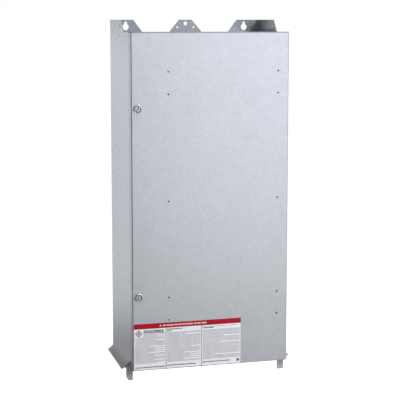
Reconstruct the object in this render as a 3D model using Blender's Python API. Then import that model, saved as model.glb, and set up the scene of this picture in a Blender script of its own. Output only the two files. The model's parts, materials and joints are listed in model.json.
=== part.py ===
"""Wall-hung breaker panel box: a galvanised box with a hinged pan cover and a full breaker interior.

Axes: +X to the right of the cover, +Y towards the wall, +Z up.
The origin lies on the back wall's outer face, halfway across the box and halfway up its cover.
All sizes are in metres.
"""

import math

import bmesh
import bpy
from mathutils import Matrix, Vector

# Overall box, measured over the closed cover and the back wall.
BOX_WIDTH = 0.508
BOX_HEIGHT = 1.048
BOX_DEPTH = 0.288

# Sheet metal and fits.
SHEET = 0.0016
COVER_SHEET = 0.0016
COVER_FIT = 0.0006
BEND_RADIUS = 0.003
TOUCH_GAP = 0.0003
HOLE_CLEARANCE = 0.0005
OVERSHOOT = 0.002
ROUND_SIDES = 16
FINE_SIDES = 24
SMALL_SIDES = 12
PUNCHED_SIDES = 10
BEND_STEPS = 3
SHARP_ANGLE = 35.0

# Hanging ears on the top edge of the wrapper.
EAR_HEIGHT = 0.037
CORNER_EAR_BASE = 0.1065
CORNER_EAR_TOP = 0.0745
SIDE_EAR_BASE = 0.185
SIDE_EAR_TOP = 0.153
MIDDLE_EAR_BASE = 0.110
MIDDLE_EAR_TOP = 0.040
KEYHOLE_INSET = 0.0535
KEYHOLE_DROP = 0.0235
KEYHOLE_RADIUS = 0.0105
KEYHOLE_SLOT_WIDTH = 0.0105
KEYHOLE_SLOT_TOP = 0.0055
MIDDLE_HOLE_DROP = 0.012
MIDDLE_HOLE_RADIUS = 0.0063
MIDDLE_SMALL_HOLE_SPACING = 0.055
MIDDLE_SMALL_HOLE_DROP = 0.0243
EAR_SMALL_HOLE_RADIUS = 0.0036
SIDE_EAR_HOLE_FROM_BACK = 0.139
SIDE_EAR_HOLE_DROP = 0.021
SIDE_EAR_HOLE_RADIUS = 0.004

# Flared skirts along the bottom of both side walls, wider in front, and the legs under them.
SKIRT_RISE = 0.0235
SKIRT_DROP = 0.0233
SKIRT_FRONT_REACH = 0.029
SKIRT_BACK_REACH = 0.020
SKIRT_FRONT_SETBACK = 0.038
SKIRT_BACK_SETBACK = 0.016
SKIRT_RELIEF = 0.006
SKIRT_HOLE_FROM_BACK = 0.011
SKIRT_HOLE_OUT = 0.012
SKIRT_HOLE_RADIUS = 0.0035
LEG_SETBACK = 0.053
LEG_WIDTH = 0.0215
LEG_OUT = 0.011
LEG_DROP = 0.043
LEFT_LEG_CORNER = (0.010, 0.020)
RIGHT_LEG_CORNER = (0.0015, 0.0015)
WEB_TIP_INSET = 0.003
WEB_DROP = 0.0245
TRAY_FRONT_SETBACK = 0.015
BOTTOM_WALL_RISE = 0.026
BOTTOM_FLANGE = 0.020
CABLE_OPENING_WIDTH = 0.300
CABLE_OPENING_DEPTH = 0.130
CABLE_OPENING_BACK_SETBACK = 0.060
TOP_FLANGE = 0.022

# Small holes in the side walls: distance from the back, and height from the top or the bottom edge.
WALL_HOLE_RADIUS = 0.0023
WALL_HOLES_FROM_TOP = (
    (0.081, 0.025),
    (0.074, 0.194),
    (0.063, 0.366),
    (0.022, 0.452),
    (0.101, 0.434),
    (0.101, 0.454),
    (0.133, 0.012),
    (0.242, 0.014),
    (0.023, 0.012),
)
WALL_HOLES_FROM_BOTTOM = (
    (0.014, 0.345),
    (0.092, 0.343),
    (0.114, 0.337),
    (0.107, 0.110),
)

# Pan cover, its stiffeners and its label.
COVER_SIDE_FLANGE = 0.030
COVER_TOP_FLANGE = 0.028
COVER_BOTTOM_FLANGE = 0.012
COVER_CORNER_GAP = 0.0002
COVER_HOLE_RADIUS = 0.0028
COVER_HOLES_FROM_TOP = (0.120, 0.189)
COVER_HOLES_FROM_BOTTOM = (0.156, 0.227)
COVER_MIDDLE_HOLE_RISE = 0.005
LEFT_COLUMN_INSET = 0.117
RIGHT_COLUMN_INSET = 0.0355
STIFFENER_WEB = 0.014
STIFFENER_DEPTH = 0.014
STIFFENER_WIDTH = 0.040
STIFFENER_END_GAP = 0.060
LABEL_WIDTH = 0.350
LABEL_HEIGHT = 0.1465
LABEL_EDGE_GAP = 0.0032
LABEL_THICKNESS = 0.0003

# Quarter-turn latches.
LATCH_INSET = 0.0192
UPPER_LATCH_RISE = 0.815
LOWER_LATCH_RISE = 0.231
BEZEL_RADIUS = 0.0137
BEZEL_THICKNESS = 0.0022
BEZEL_BARREL_RADIUS = 0.0088
BEZEL_BARREL_LENGTH = 0.018
BEZEL_RECESS_RADIUS = 0.0104
BEZEL_RECESS_DEPTH = 0.0014
ROTOR_HEAD_RADIUS = 0.0088
ROTOR_HEAD_THICKNESS = 0.0034
ROTOR_PLUG_RADIUS = 0.0069
ROTOR_SHAFT_RADIUS = 0.0045
ROTOR_CLEARANCE = 0.0004
ROTOR_SLOT_WIDTH = 0.0024
ROTOR_SLOT_DEPTH = 0.0018
LATCH_NUT_WIDTH = 0.022
LATCH_NUT_THICKNESS = 0.005
PAWL_SETBACK = 0.0218
PAWL_THICKNESS = 0.0025
PAWL_HALF_WIDTH = 0.006
PAWL_REACH = 0.0138
PAWL_TAIL = 0.008
STRIKE_REACH = 0.0077
STRIKE_OVERRUN = 0.030
STRIKE_FOOT = 0.0136
STRIKE_PAWL_GAP = 0.0012

# Butt hinges on the right-hand side.
HINGE_LENGTH = 0.075
HINGE_KNUCKLES = 5
HINGE_AXIS_OUT = 0.0035
HINGE_AXIS_GAP = 0.0035
HINGE_BARREL_RADIUS = 0.0038
HINGE_PIN_RADIUS = 0.0019
HINGE_PIN_HEAD_RADIUS = 0.0034
HINGE_PIN_HEAD = 0.0022
HINGE_LEAF = 0.0018
HINGE_LEAF_WIDTH = 0.024
HINGE_WALL_LEAF_WIDTH = 0.030
HINGE_KNUCKLE_GAP = 0.0005
HINGE_OPEN_CLEARANCE = 0.0012

# Interior stack, measured back from the deadfront.
DEADFRONT_SETBACK = 0.0864
DEADFRONT_MARGIN = 0.0055
DEADFRONT_END_GAP = 0.036
DEADFRONT_EDGE = 0.010
WINDOW_CLEARANCE = 0.0012
RAIL_LEG = 0.022
RAIL_END_GAP = 0.050
PAN_HALF_WIDTH = 0.170
PAN_FLANGE = 0.0425
PAN_SHEET = 0.002
PAN_OVERHANG = 0.030
BRACKET_HALF_WIDTH = 0.150
BRACKET_LEG = 0.020
BRACKET_INSET = 0.040
SUPPORT_HALF_WIDTH = 0.058
SUPPORT_BASE = 0.004
SUPPORT_RIB_LENGTH = 0.030
SUPPORT_RIB_COUNT = 5
BUS_BAR_WIDTH = 0.020
BUS_BAR_THICKNESS = 0.006
BUS_BAR_PITCH = 0.032

# Branch breakers.
BRANCH_ROWS = 4
BRANCH_PITCH = 0.105
BRANCH_GAP = 0.0012
BRANCH_INNER_END = 0.012
BRANCH_OUTER_END = 0.178
BRANCH_BODY_DEPTH = 0.090
BRANCH_NOSE_CENTRE = 0.095
BRANCH_NOSE_WIDTH = 0.072
BRANCH_NOSE_PROUD = 0.012
BODY_TO_DEADFRONT = 0.005
BRANCH_HUB_RADIUS = 0.0148
BRANCH_HUB_WIDTH = 0.024
BRANCH_LEVER_REACH = 0.036
BRANCH_LEVER_ROOT = 0.004
BRANCH_LEVER_TIP = 0.0033
BRANCH_SLOT_SHOULDER = 0.012
FILLER_SLOT = ("right", 4)
FILLER_LAP = 0.006
FILLER_SHEET = 0.002
FILLER_LIP_DEPTH = 0.008
HUB_CLEARANCE = 0.0007
HANDLE_TILT = 20.0
TERMINAL_WIDTH = 0.022
TERMINAL_LENGTH = 0.026
TERMINAL_DEPTH = 0.020
POLE_COUNT = 3
POLE_PITCH = 0.033

# Main breaker.
MAIN_HALF_WIDTH = 0.070
MAIN_HEIGHT = 0.230
MAIN_GAP = 0.045
MAIN_NOSE_HALF_WIDTH = 0.046
MAIN_NOSE_HEIGHT = 0.120
MAIN_NOSE_PROUD = 0.014
MAIN_HUB_RADIUS = 0.0192
MAIN_HUB_WIDTH = 0.034
MAIN_LEVER_REACH = 0.048
MAIN_LEVER_ROOT = 0.0052
MAIN_LEVER_TIP = 0.0042
MAIN_SLOT_SHOULDER = 0.0155
MAIN_TERMINAL_WIDTH = 0.034
MAIN_TERMINAL_LENGTH = 0.040
MAIN_TERMINAL_DEPTH = 0.032
MAIN_POLE_PITCH = 0.044
LUG_WIDTH = 0.026
LUG_LENGTH = 0.032
LUG_HEIGHT = 0.026
LUG_BORE_RADIUS = 0.008
LUG_FLOOR = 0.0032
LUG_SCREW_RADIUS = 0.006
LUG_SCREW_PROUD = 0.003
BUTTON_RADIUS = 0.004
BUTTON_LENGTH = 0.009
BUTTON_PROUD = 0.0018
BUTTON_TRAVEL = 0.0025
BUTTON_SIDE_OFFSET = 0.030
BUTTON_DROP = 0.042

# Neutral and ground bars in the side gutters.
NEUTRAL_BAR_LENGTH = 0.300
GROUND_BAR_LENGTH = 0.220
TERMINAL_BAR_WIDTH = 0.016
TERMINAL_BAR_THICKNESS = 0.012
NEUTRAL_INSULATOR_HEIGHT = 0.030
NEUTRAL_INSULATOR_POST = 0.040
NEUTRAL_INSULATOR_WEB = 0.008
WIRE_HOLE_RADIUS = 0.003
WIRE_HOLE_PITCH = 0.022
DEADFRONT_SCREW_HEAD_RADIUS = 0.0048
DEADFRONT_SCREW_HEAD = 0.0024
DEADFRONT_SCREW_SHANK = 0.0021
DEADFRONT_SCREW_END = 0.0048
DEADFRONT_SCREW_SLOT = 0.0016
DEADFRONT_SCREW_SLOT_DEPTH = 0.001
DEADFRONT_SCREW_INSET = 0.0125

# Places that follow from the sizes above.
BOTTOM = -BOX_HEIGHT / 2
TOP = BOX_HEIGHT / 2
FRONT = -BOX_DEPTH
COVER_HALF = BOX_WIDTH / 2
COVER_INSIDE = FRONT + COVER_SHEET
WALL_OUT = COVER_HALF - COVER_SHEET - COVER_FIT
WALL_IN = WALL_OUT - SHEET
WALL_FRONT = COVER_INSIDE + COVER_FIT
WALL_TOP = TOP - COVER_SHEET - COVER_FIT
WALL_BOTTOM = BOTTOM + COVER_SHEET + COVER_FIT
BACK_IN = -SHEET
CORNER_GAP = (BEND_RADIUS - SHEET) * (1 - math.sqrt(0.5)) + TOUCH_GAP
EAR_TOP = TOP + EAR_HEIGHT
SKIRT_LINE = BOTTOM + SKIRT_RISE
BOTTOM_WALL_LEVEL = BOTTOM + BOTTOM_WALL_RISE
HINGE_X = COVER_HALF + HINGE_AXIS_OUT
HINGE_Y = FRONT + COVER_SIDE_FLANGE + HINGE_AXIS_GAP
LATCH_X = -COVER_HALF + LATCH_INSET
LATCH_HEIGHTS = {"upper": BOTTOM + UPPER_LATCH_RISE, "lower": BOTTOM + LOWER_LATCH_RISE}
PAWL_BACK = COVER_INSIDE + PAWL_SETBACK + PAWL_THICKNESS
DEADFRONT_FRONT = FRONT + DEADFRONT_SETBACK
DEADFRONT_BACK = DEADFRONT_FRONT + SHEET
BREAKER_FACE = DEADFRONT_BACK + BODY_TO_DEADFRONT
BREAKER_BACK = BREAKER_FACE + BRANCH_BODY_DEPTH
PAN_FLANGE_TIP = BREAKER_BACK + TOUCH_GAP
PAN_FRONT = PAN_FLANGE_TIP + PAN_FLANGE - PAN_SHEET
PAN_BACK = PAN_FRONT + PAN_SHEET
BUS_FRONT = BREAKER_BACK + TOUCH_GAP
BUS_BACK = BUS_FRONT + BUS_BAR_THICKNESS
BRANCH_HEIGHT = BRANCH_ROWS * BRANCH_PITCH
STACK_HEIGHT = BRANCH_HEIGHT + MAIN_GAP + MAIN_HEIGHT
STACK_BOTTOM = -STACK_HEIGHT / 2
BRANCH_TOP = STACK_BOTTOM + BRANCH_HEIGHT
MAIN_BOTTOM = BRANCH_TOP + MAIN_GAP
MAIN_TOP = MAIN_BOTTOM + MAIN_HEIGHT
MAIN_CENTRE = MAIN_BOTTOM + MAIN_HEIGHT / 2
GUTTER_X = (PAN_HALF_WIDTH + WALL_IN) / 2
RAIL_HEIGHT = BOX_HEIGHT - 2 * RAIL_END_GAP
COVER_COLUMNS = (-COVER_HALF + LEFT_COLUMN_INSET, COVER_HALF - RIGHT_COLUMN_INSET)


def clear_scene():
    """Removes whatever the open file holds."""
    for item in list(bpy.data.objects):
        bpy.data.objects.remove(item, do_unlink=True)


# ---------------------------------------------------------------- materials


def material(name, colour, roughness, metallic):
    """One Principled BSDF material."""
    made = bpy.data.materials.new(name)
    made.use_nodes = True
    shader = made.node_tree.nodes["Principled BSDF"]
    shader.inputs["Base Color"].default_value = (*colour, 1.0)
    shader.inputs["Roughness"].default_value = roughness
    shader.inputs["Metallic"].default_value = metallic
    made.diffuse_color = (*colour, 1.0)
    return made


def galvanised(name):
    """Zinc-coated sheet steel."""
    return material(name, (0.56, 0.58, 0.61), 0.42, 0.85)


def zinc_plated(name):
    """Bright zinc-plated fasteners and fittings."""
    return material(name, (0.62, 0.63, 0.65), 0.30, 0.95)


def black_plastic(name):
    """Moulded phenolic breaker cases."""
    return material(name, (0.035, 0.035, 0.038), 0.48, 0.0)


def handle_plastic(name):
    """Moulded breaker toggles."""
    return material(name, (0.010, 0.010, 0.011), 0.35, 0.0)


def insulator_red(name):
    """Glass-filled polyester bus supports."""
    return material(name, (0.30, 0.045, 0.030), 0.60, 0.0)


def tinned_bus(name):
    """Tin-plated conductor bars."""
    return material(name, (0.70, 0.69, 0.66), 0.28, 0.95)


def lug_aluminium(name):
    """Extruded aluminium terminal bars and lugs."""
    return material(name, (0.76, 0.77, 0.78), 0.34, 0.95)


def painted_grey(name):
    """Grey enamel on the deadfront."""
    return material(name, (0.40, 0.42, 0.43), 0.50, 0.0)


# ---------------------------------------------------------------- modelling helpers


def block(shape, low, high):
    """Adds a rectangular block between two corners."""
    size = [high[i] - low[i] for i in range(3)]
    centre = [(high[i] + low[i]) / 2 for i in range(3)]
    place = Matrix.Translation(centre) @ Matrix.Diagonal((*size, 1.0))
    bmesh.ops.create_cube(shape, size=1.0, matrix=place)


def lift(point, along, level):
    """Turns a 2D outline point into 3D on the plane across axis `along` (0, 1 or 2)."""
    spot = list(point)
    spot.insert(along, level)
    return Vector(spot)


def prism(shape, outline, along, low, high):
    """Adds a straight prism of a closed 2D outline, from low to high on one axis."""
    corners = [shape.verts.new(lift(p, along, low)) for p in outline]
    face = shape.faces.new(corners)
    grown = bmesh.ops.extrude_face_region(shape, geom=[face])
    raised = [v for v in grown["geom"] if isinstance(v, bmesh.types.BMVert)]
    offset = lift((0, 0), along, high - low)
    bmesh.ops.translate(shape, verts=raised, vec=offset)
    bmesh.ops.recalc_face_normals(shape, faces=shape.faces)


def circle(centre, radius, start=0.0, turn=math.tau, steps=ROUND_SIDES):
    """Points on an arc. A full turn leaves out the repeated last point."""
    count = steps if abs(turn - math.tau) < 1e-9 else steps + 1
    spots = []
    for index in range(count):
        angle = start + turn * index / steps
        spots.append((centre[0] + radius * math.cos(angle), centre[1] + radius * math.sin(angle)))
    return spots


def rod(shape, centre, radius, along, low, high, steps=ROUND_SIDES):
    """Adds a round bar whose 2D centre is given across its axis."""
    prism(shape, circle(centre, radius, steps=steps), along, low, high)


def node(name, shape, finish, smooth=False):
    """Makes a named object of a finished bmesh."""
    mesh = bpy.data.meshes.new(name)
    shape.to_mesh(mesh)
    shape.free()
    made = bpy.data.objects.new(name, mesh)
    mesh.materials.append(finish)
    bpy.context.scene.collection.objects.link(made)
    if smooth:
        mesh.shade_smooth()
        mesh.set_sharp_from_angle(angle=math.radians(SHARP_ANGLE))
    return made


def combine(body, shape, operation):
    """Applies one Boolean with a bmesh tool, and leaves a plain mesh."""
    tool = node("tool", shape, body.data.materials[0])
    step = body.modifiers.new(operation.title(), "BOOLEAN")
    step.operation = operation
    step.solver = "EXACT"
    step.object = tool
    graph = bpy.context.evaluated_depsgraph_get()
    result = bpy.data.meshes.new_from_object(body.evaluated_get(graph))
    body.modifiers.clear()
    body.data = result
    bpy.data.objects.remove(tool, do_unlink=True)
    return body


def cut(body, shape):
    """Takes a bmesh tool away from an object."""
    return combine(body, shape, "DIFFERENCE")


def join(body, shape):
    """Adds a bmesh tool to an object as one solid."""
    return combine(body, shape, "UNION")


def pivot(name, place):
    """An empty on a joint's axis, for the pieces that turn about it."""
    made = bpy.data.objects.new(name, None)
    made.location = place
    made.empty_display_size = 0.02
    bpy.context.scene.collection.objects.link(made)
    return made


def hang(piece, parent):
    """Parents a piece modelled in place to a pivot, and keeps it where it is."""
    piece.parent = parent
    start = parent.location if parent.parent is None else parent.location + parent.parent.location
    piece.location = piece.location - start
    return piece


def spread(count, pitch):
    """Positions of evenly spaced items about zero."""
    return [(index - (count - 1) / 2) * pitch for index in range(count)]


# ---------------------------------------------------------------- enclosure


def wrapper_outline():
    """Plan of the bent sheet that makes the left, back and right walls."""
    inner = BEND_RADIUS - SHEET
    outline = [(-WALL_OUT, WALL_FRONT)]
    outline += circle((-WALL_OUT + BEND_RADIUS, -BEND_RADIUS), BEND_RADIUS, math.pi, -math.pi / 2, BEND_STEPS)
    corner = (WALL_OUT - BEND_RADIUS, -BEND_RADIUS)
    outline += circle(corner, BEND_RADIUS, math.pi / 2, -math.pi / 2, BEND_STEPS)
    outline += [(WALL_OUT, WALL_FRONT), (WALL_IN, WALL_FRONT)]
    outline += circle((WALL_IN - inner, BACK_IN - inner), inner, 0.0, math.pi / 2, BEND_STEPS)
    outline += circle((-WALL_IN + inner, BACK_IN - inner), inner, math.pi / 2, math.pi / 2, BEND_STEPS)
    outline += [(-WALL_IN, WALL_FRONT)]
    return outline


def ear_gap_cutters(shape):
    """Clears the sheet between the ears, behind and at the sides."""
    crest = EAR_TOP + OVERSHOOT
    for side in (-1, 1):
        gap = [
            (side * (WALL_OUT - CORNER_EAR_BASE), WALL_TOP),
            (side * (WALL_OUT - CORNER_EAR_TOP), crest),
            (side * MIDDLE_EAR_TOP / 2, crest),
            (side * MIDDLE_EAR_BASE / 2, WALL_TOP),
        ]
        prism(shape, gap, 1, BACK_IN - OVERSHOOT, OVERSHOOT)
    front_gap = [
        (WALL_FRONT - OVERSHOOT, WALL_TOP),
        (WALL_FRONT - OVERSHOOT, crest),
        (-SIDE_EAR_TOP, crest),
        (-SIDE_EAR_BASE, WALL_TOP),
    ]
    prism(shape, front_gap, 0, -WALL_OUT - OVERSHOOT, WALL_OUT + OVERSHOOT)


def keyhole(side):
    """Outline of one keyhole: a round entry with a slot above it."""
    x = side * (COVER_HALF - KEYHOLE_INSET)
    z = EAR_TOP - KEYHOLE_DROP
    half = KEYHOLE_SLOT_WIDTH / 2
    shoulder = math.asin(half / KEYHOLE_RADIUS)
    start = math.pi / 2 + shoulder
    outline = circle((x, z), KEYHOLE_RADIUS, start, math.tau - 2 * shoulder, ROUND_SIDES)
    crown = EAR_TOP - KEYHOLE_SLOT_TOP - half
    return outline + circle((x, crown), half, 0.0, math.pi, ROUND_SIDES // 2)


def ear_hole_cutters(shape):
    """Keyholes, the middle ear's holes and the side ears' holes."""
    for side in (-1, 1):
        prism(shape, keyhole(side), 1, BACK_IN - OVERSHOOT, OVERSHOOT)
        small = (side * MIDDLE_SMALL_HOLE_SPACING / 2, EAR_TOP - MIDDLE_SMALL_HOLE_DROP)
        rod(shape, small, EAR_SMALL_HOLE_RADIUS, 1, BACK_IN - OVERSHOOT, OVERSHOOT, SMALL_SIDES)
    middle = (0.0, EAR_TOP - MIDDLE_HOLE_DROP)
    rod(shape, middle, MIDDLE_HOLE_RADIUS, 1, BACK_IN - OVERSHOOT, OVERSHOOT)
    through = WALL_OUT + OVERSHOOT
    side_hole = (-SIDE_EAR_HOLE_FROM_BACK, EAR_TOP - SIDE_EAR_HOLE_DROP)
    rod(shape, side_hole, SIDE_EAR_HOLE_RADIUS, 0, -through, through, SMALL_SIDES)


def wall_hole_cutters(shape):
    """Small punched holes through both side walls."""
    through = WALL_OUT + OVERSHOOT
    for back, drop in WALL_HOLES_FROM_TOP:
        rod(shape, (-back, TOP - drop), WALL_HOLE_RADIUS, 0, -through, through, PUNCHED_SIDES)
    for back, rise in WALL_HOLES_FROM_BOTTOM:
        rod(shape, (-back, BOTTOM + rise), WALL_HOLE_RADIUS, 0, -through, through, PUNCHED_SIDES)


def skirt_cutter(shape):
    """Opens the bottom edge of the side walls where the skirts start."""
    through = WALL_OUT + OVERSHOOT
    front = FRONT + SKIRT_FRONT_SETBACK - SKIRT_RELIEF
    back = -SKIRT_BACK_SETBACK + SKIRT_RELIEF
    block(shape, (-through, front, WALL_BOTTOM - OVERSHOOT), (through, back, SKIRT_LINE))


def skirt_level(x):
    """Height of the skirt sheet's middle at a distance from the box's centre."""
    slope = SKIRT_DROP / SKIRT_FRONT_REACH
    return SKIRT_LINE - SHEET / 2 - (x - WALL_OUT) * slope


def skirt_outline(side, reach):
    """End view of one skirt where it reaches this far out from the wall."""
    half = SHEET / 2 * math.hypot(1.0, SKIRT_DROP / SKIRT_FRONT_REACH)
    tip = WALL_OUT + reach
    return [
        (side * WALL_IN, skirt_level(WALL_IN) + half),
        (side * tip, skirt_level(tip) + half),
        (side * tip, skirt_level(tip) - half),
        (side * WALL_IN, skirt_level(WALL_IN) - half),
    ]


def skirt(shape, side):
    """One side wall's flared bottom edge."""
    front_outline = skirt_outline(side, SKIRT_FRONT_REACH)
    back_outline = skirt_outline(side, SKIRT_BACK_REACH)
    front = [shape.verts.new(lift(p, 1, FRONT + SKIRT_FRONT_SETBACK)) for p in front_outline]
    back = [shape.verts.new(lift(p, 1, -SKIRT_BACK_SETBACK)) for p in back_outline]
    shape.faces.new(front)
    shape.faces.new(list(reversed(back)))
    for k in range(len(front)):
        following = (k + 1) % len(front)
        shape.faces.new((front[following], front[k], back[k], back[following]))
    bmesh.ops.recalc_face_normals(shape, faces=shape.faces)


def leg_outline(side, corner):
    """Front view of one leg and of the web that joins it to the skirt."""
    wide, tall = corner
    outer = WALL_OUT + LEG_OUT
    inner = outer - LEG_WIDTH
    root = WALL_IN + TOUCH_GAP
    tip = WALL_OUT + SKIRT_FRONT_REACH - WEB_TIP_INSET
    foot = BOTTOM - LEG_DROP
    web = SKIRT_LINE - WEB_DROP
    shoulder = BOTTOM_WALL_LEVEL - BOTTOM_FLANGE - TOUCH_GAP
    outline = [(root, skirt_level(root)), (tip, skirt_level(tip)), (tip, web), (outer, web)]
    for x, z in circle((0.0, 0.0), 1.0, 0.0, -math.pi / 2, BEND_STEPS):
        outline.append((outer - wide + wide * x, foot + tall + tall * z))
    outline += [(inner, foot), (inner, shoulder), (root, shoulder)]
    return [(side * x, z) for x, z in outline]


def leg(shape, side, corner):
    """One flat leg, set back from the skirt's front end."""
    front = FRONT + LEG_SETBACK
    prism(shape, leg_outline(side, corner), 1, front, front + SHEET)


def skirt_holes(shape):
    """A small hole near the back end of each skirt."""
    y = -SKIRT_BACK_SETBACK - SKIRT_HOLE_FROM_BACK
    for side in (-1, 1):
        x = side * (WALL_OUT + SKIRT_HOLE_OUT)
        rod(shape, (x, y), SKIRT_HOLE_RADIUS, 2, SKIRT_LINE - SKIRT_DROP, SKIRT_LINE, PUNCHED_SIDES)


def enclosure_wrapper():
    """Left, back and right walls with ears and skirts, bent from one sheet, and their legs."""
    shape = bmesh.new()
    prism(shape, wrapper_outline(), 2, WALL_BOTTOM, EAR_TOP)
    body = node("enclosure_wrapper", shape, galvanised("wrapper_galvanised"))
    for cutter in (ear_gap_cutters, ear_hole_cutters, wall_hole_cutters, skirt_cutter):
        shape = bmesh.new()
        cutter(shape)
        cut(body, shape)
    shape = bmesh.new()
    skirt(shape, -1)
    skirt(shape, 1)
    join(body, shape)
    shape = bmesh.new()
    leg(shape, -1, LEFT_LEG_CORNER)
    leg(shape, 1, RIGHT_LEG_CORNER)
    join(body, shape)
    shape = bmesh.new()
    skirt_holes(shape)
    cut(body, shape)
    return body


def top_wall():
    """Top tray: a flat sheet with a flange turned down all round."""
    edge = WALL_IN - CORNER_GAP
    back = BACK_IN - CORNER_GAP
    shape = bmesh.new()
    block(shape, (-edge, WALL_FRONT, WALL_TOP - TOP_FLANGE), (edge, back, WALL_TOP))
    body = node("top_wall", shape, galvanised("top_galvanised"))
    shape = bmesh.new()
    inside_low = (-edge + SHEET, WALL_FRONT + SHEET, WALL_TOP - TOP_FLANGE - OVERSHOOT)
    block(shape, inside_low, (edge - SHEET, back - SHEET, WALL_TOP - SHEET))
    cut(body, shape)
    shape = bmesh.new()
    wall_hole_cutters(shape)
    return cut(body, shape)


def bottom_wall():
    """Bottom tray: a flat sheet with a flange turned down all round, open in the middle for cables."""
    edge = WALL_IN - CORNER_GAP
    back = BACK_IN - CORNER_GAP
    low = BOTTOM_WALL_LEVEL - BOTTOM_FLANGE
    front = FRONT + TRAY_FRONT_SETBACK
    shape = bmesh.new()
    block(shape, (-edge, front, low), (edge, back, BOTTOM_WALL_LEVEL + SHEET))
    body = node("bottom_wall", shape, galvanised("bottom_galvanised"))
    shape = bmesh.new()
    inside_low = (-edge + SHEET, front + SHEET, low - OVERSHOOT)
    block(shape, inside_low, (edge - SHEET, back - SHEET, BOTTOM_WALL_LEVEL))
    cut(body, shape)
    shape = bmesh.new()
    opening_back = -CABLE_OPENING_BACK_SETBACK
    opening_low = (-CABLE_OPENING_WIDTH / 2, opening_back - CABLE_OPENING_DEPTH, low)
    opening_high = (CABLE_OPENING_WIDTH / 2, opening_back, BOTTOM_WALL_LEVEL + SHEET + OVERSHOOT)
    block(shape, opening_low, opening_high)
    return cut(body, shape)


# ---------------------------------------------------------------- cover


def cover_hole_heights():
    """Heights of the five small holes in each column of the cover."""
    heights = [TOP - drop for drop in COVER_HOLES_FROM_TOP]
    heights.append(COVER_MIDDLE_HOLE_RISE)
    heights += [BOTTOM + rise for rise in COVER_HOLES_FROM_BOTTOM]
    return heights


def cover_outline():
    """Plan of the cover: its face and both side flanges, with rounded bends."""
    inner = BEND_RADIUS - COVER_SHEET
    back = FRONT + COVER_SIDE_FLANGE
    inside = COVER_HALF - COVER_SHEET
    outline = [(-COVER_HALF, back)]
    centre_x = COVER_HALF - BEND_RADIUS
    centre_y = FRONT + BEND_RADIUS
    outline += circle((-centre_x, centre_y), BEND_RADIUS, math.pi, math.pi / 2, BEND_STEPS)
    outline += circle((centre_x, centre_y), BEND_RADIUS, -math.pi / 2, math.pi / 2, BEND_STEPS)
    outline += [(COVER_HALF, back), (inside, back)]
    outline += circle((inside - inner, COVER_INSIDE + inner), inner, 0.0, -math.pi / 2, BEND_STEPS)
    outline += circle((-inside + inner, COVER_INSIDE + inner), inner, -math.pi / 2, -math.pi / 2, BEND_STEPS)
    outline += [(-inside, back)]
    return outline


def cover_cutters(shape):
    """Small holes and the two latch holes."""
    for x in COVER_COLUMNS:
        for z in cover_hole_heights():
            rod(shape, (x, z), COVER_HOLE_RADIUS, 1, FRONT - OVERSHOOT, COVER_INSIDE + OVERSHOOT, SMALL_SIDES)
    for z in LATCH_HEIGHTS.values():
        fit = BEZEL_BARREL_RADIUS + HOLE_CLEARANCE
        rod(shape, (LATCH_X, z), fit, 1, FRONT - OVERSHOOT, COVER_INSIDE + OVERSHOOT)


def front_cover():
    """Pan cover: a flat face with flanges that wrap outside the box."""
    shape = bmesh.new()
    prism(shape, cover_outline(), 2, BOTTOM, TOP)
    body = node("front_cover", shape, galvanised("cover_galvanised"))
    shape = bmesh.new()
    inside = COVER_HALF - COVER_SHEET - COVER_CORNER_GAP
    overlap = COVER_INSIDE - COVER_SHEET / 2
    block(shape, (-inside, overlap, TOP - COVER_SHEET), (inside, FRONT + COVER_TOP_FLANGE, TOP))
    join(body, shape)
    shape = bmesh.new()
    block(shape, (-inside, overlap, BOTTOM), (inside, FRONT + COVER_BOTTOM_FLANGE, BOTTOM + COVER_SHEET))
    join(body, shape)
    shape = bmesh.new()
    cover_cutters(shape)
    return cut(body, shape)


def cover_stiffener(name, x):
    """Hat channel behind one column of cover holes, open towards the cover."""
    face = COVER_INSIDE + TOUCH_GAP
    web = face + STIFFENER_DEPTH
    half_web = STIFFENER_WEB / 2
    half = STIFFENER_WIDTH / 2
    step = SHEET
    outline = [
        (x - half, face),
        (x - half_web + step, face),
        (x - half_web + step, web - SHEET),
        (x + half_web - step, web - SHEET),
        (x + half_web - step, face),
        (x + half, face),
        (x + half, face + SHEET),
        (x + half_web, face + SHEET),
        (x + half_web, web),
        (x - half_web, web),
        (x - half_web, face + SHEET),
        (x - half, face + SHEET),
    ]
    shape = bmesh.new()
    prism(shape, outline, 2, BOTTOM + STIFFENER_END_GAP, TOP - STIFFENER_END_GAP)
    return node(name, shape, galvanised(name + "_galvanised"))


def cover_label():
    """Thin printed sheet on the lower left of the cover."""
    left = -COVER_HALF + LABEL_EDGE_GAP
    low = BOTTOM + LABEL_EDGE_GAP / 2
    back = FRONT - TOUCH_GAP
    shape = bmesh.new()
    block(shape, (left, back - LABEL_THICKNESS, low), (left + LABEL_WIDTH, back, low + LABEL_HEIGHT))
    return node("cover_label", shape, material("label_white", (0.80, 0.80, 0.80), 0.45, 0.0))


# ---------------------------------------------------------------- latches


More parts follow.
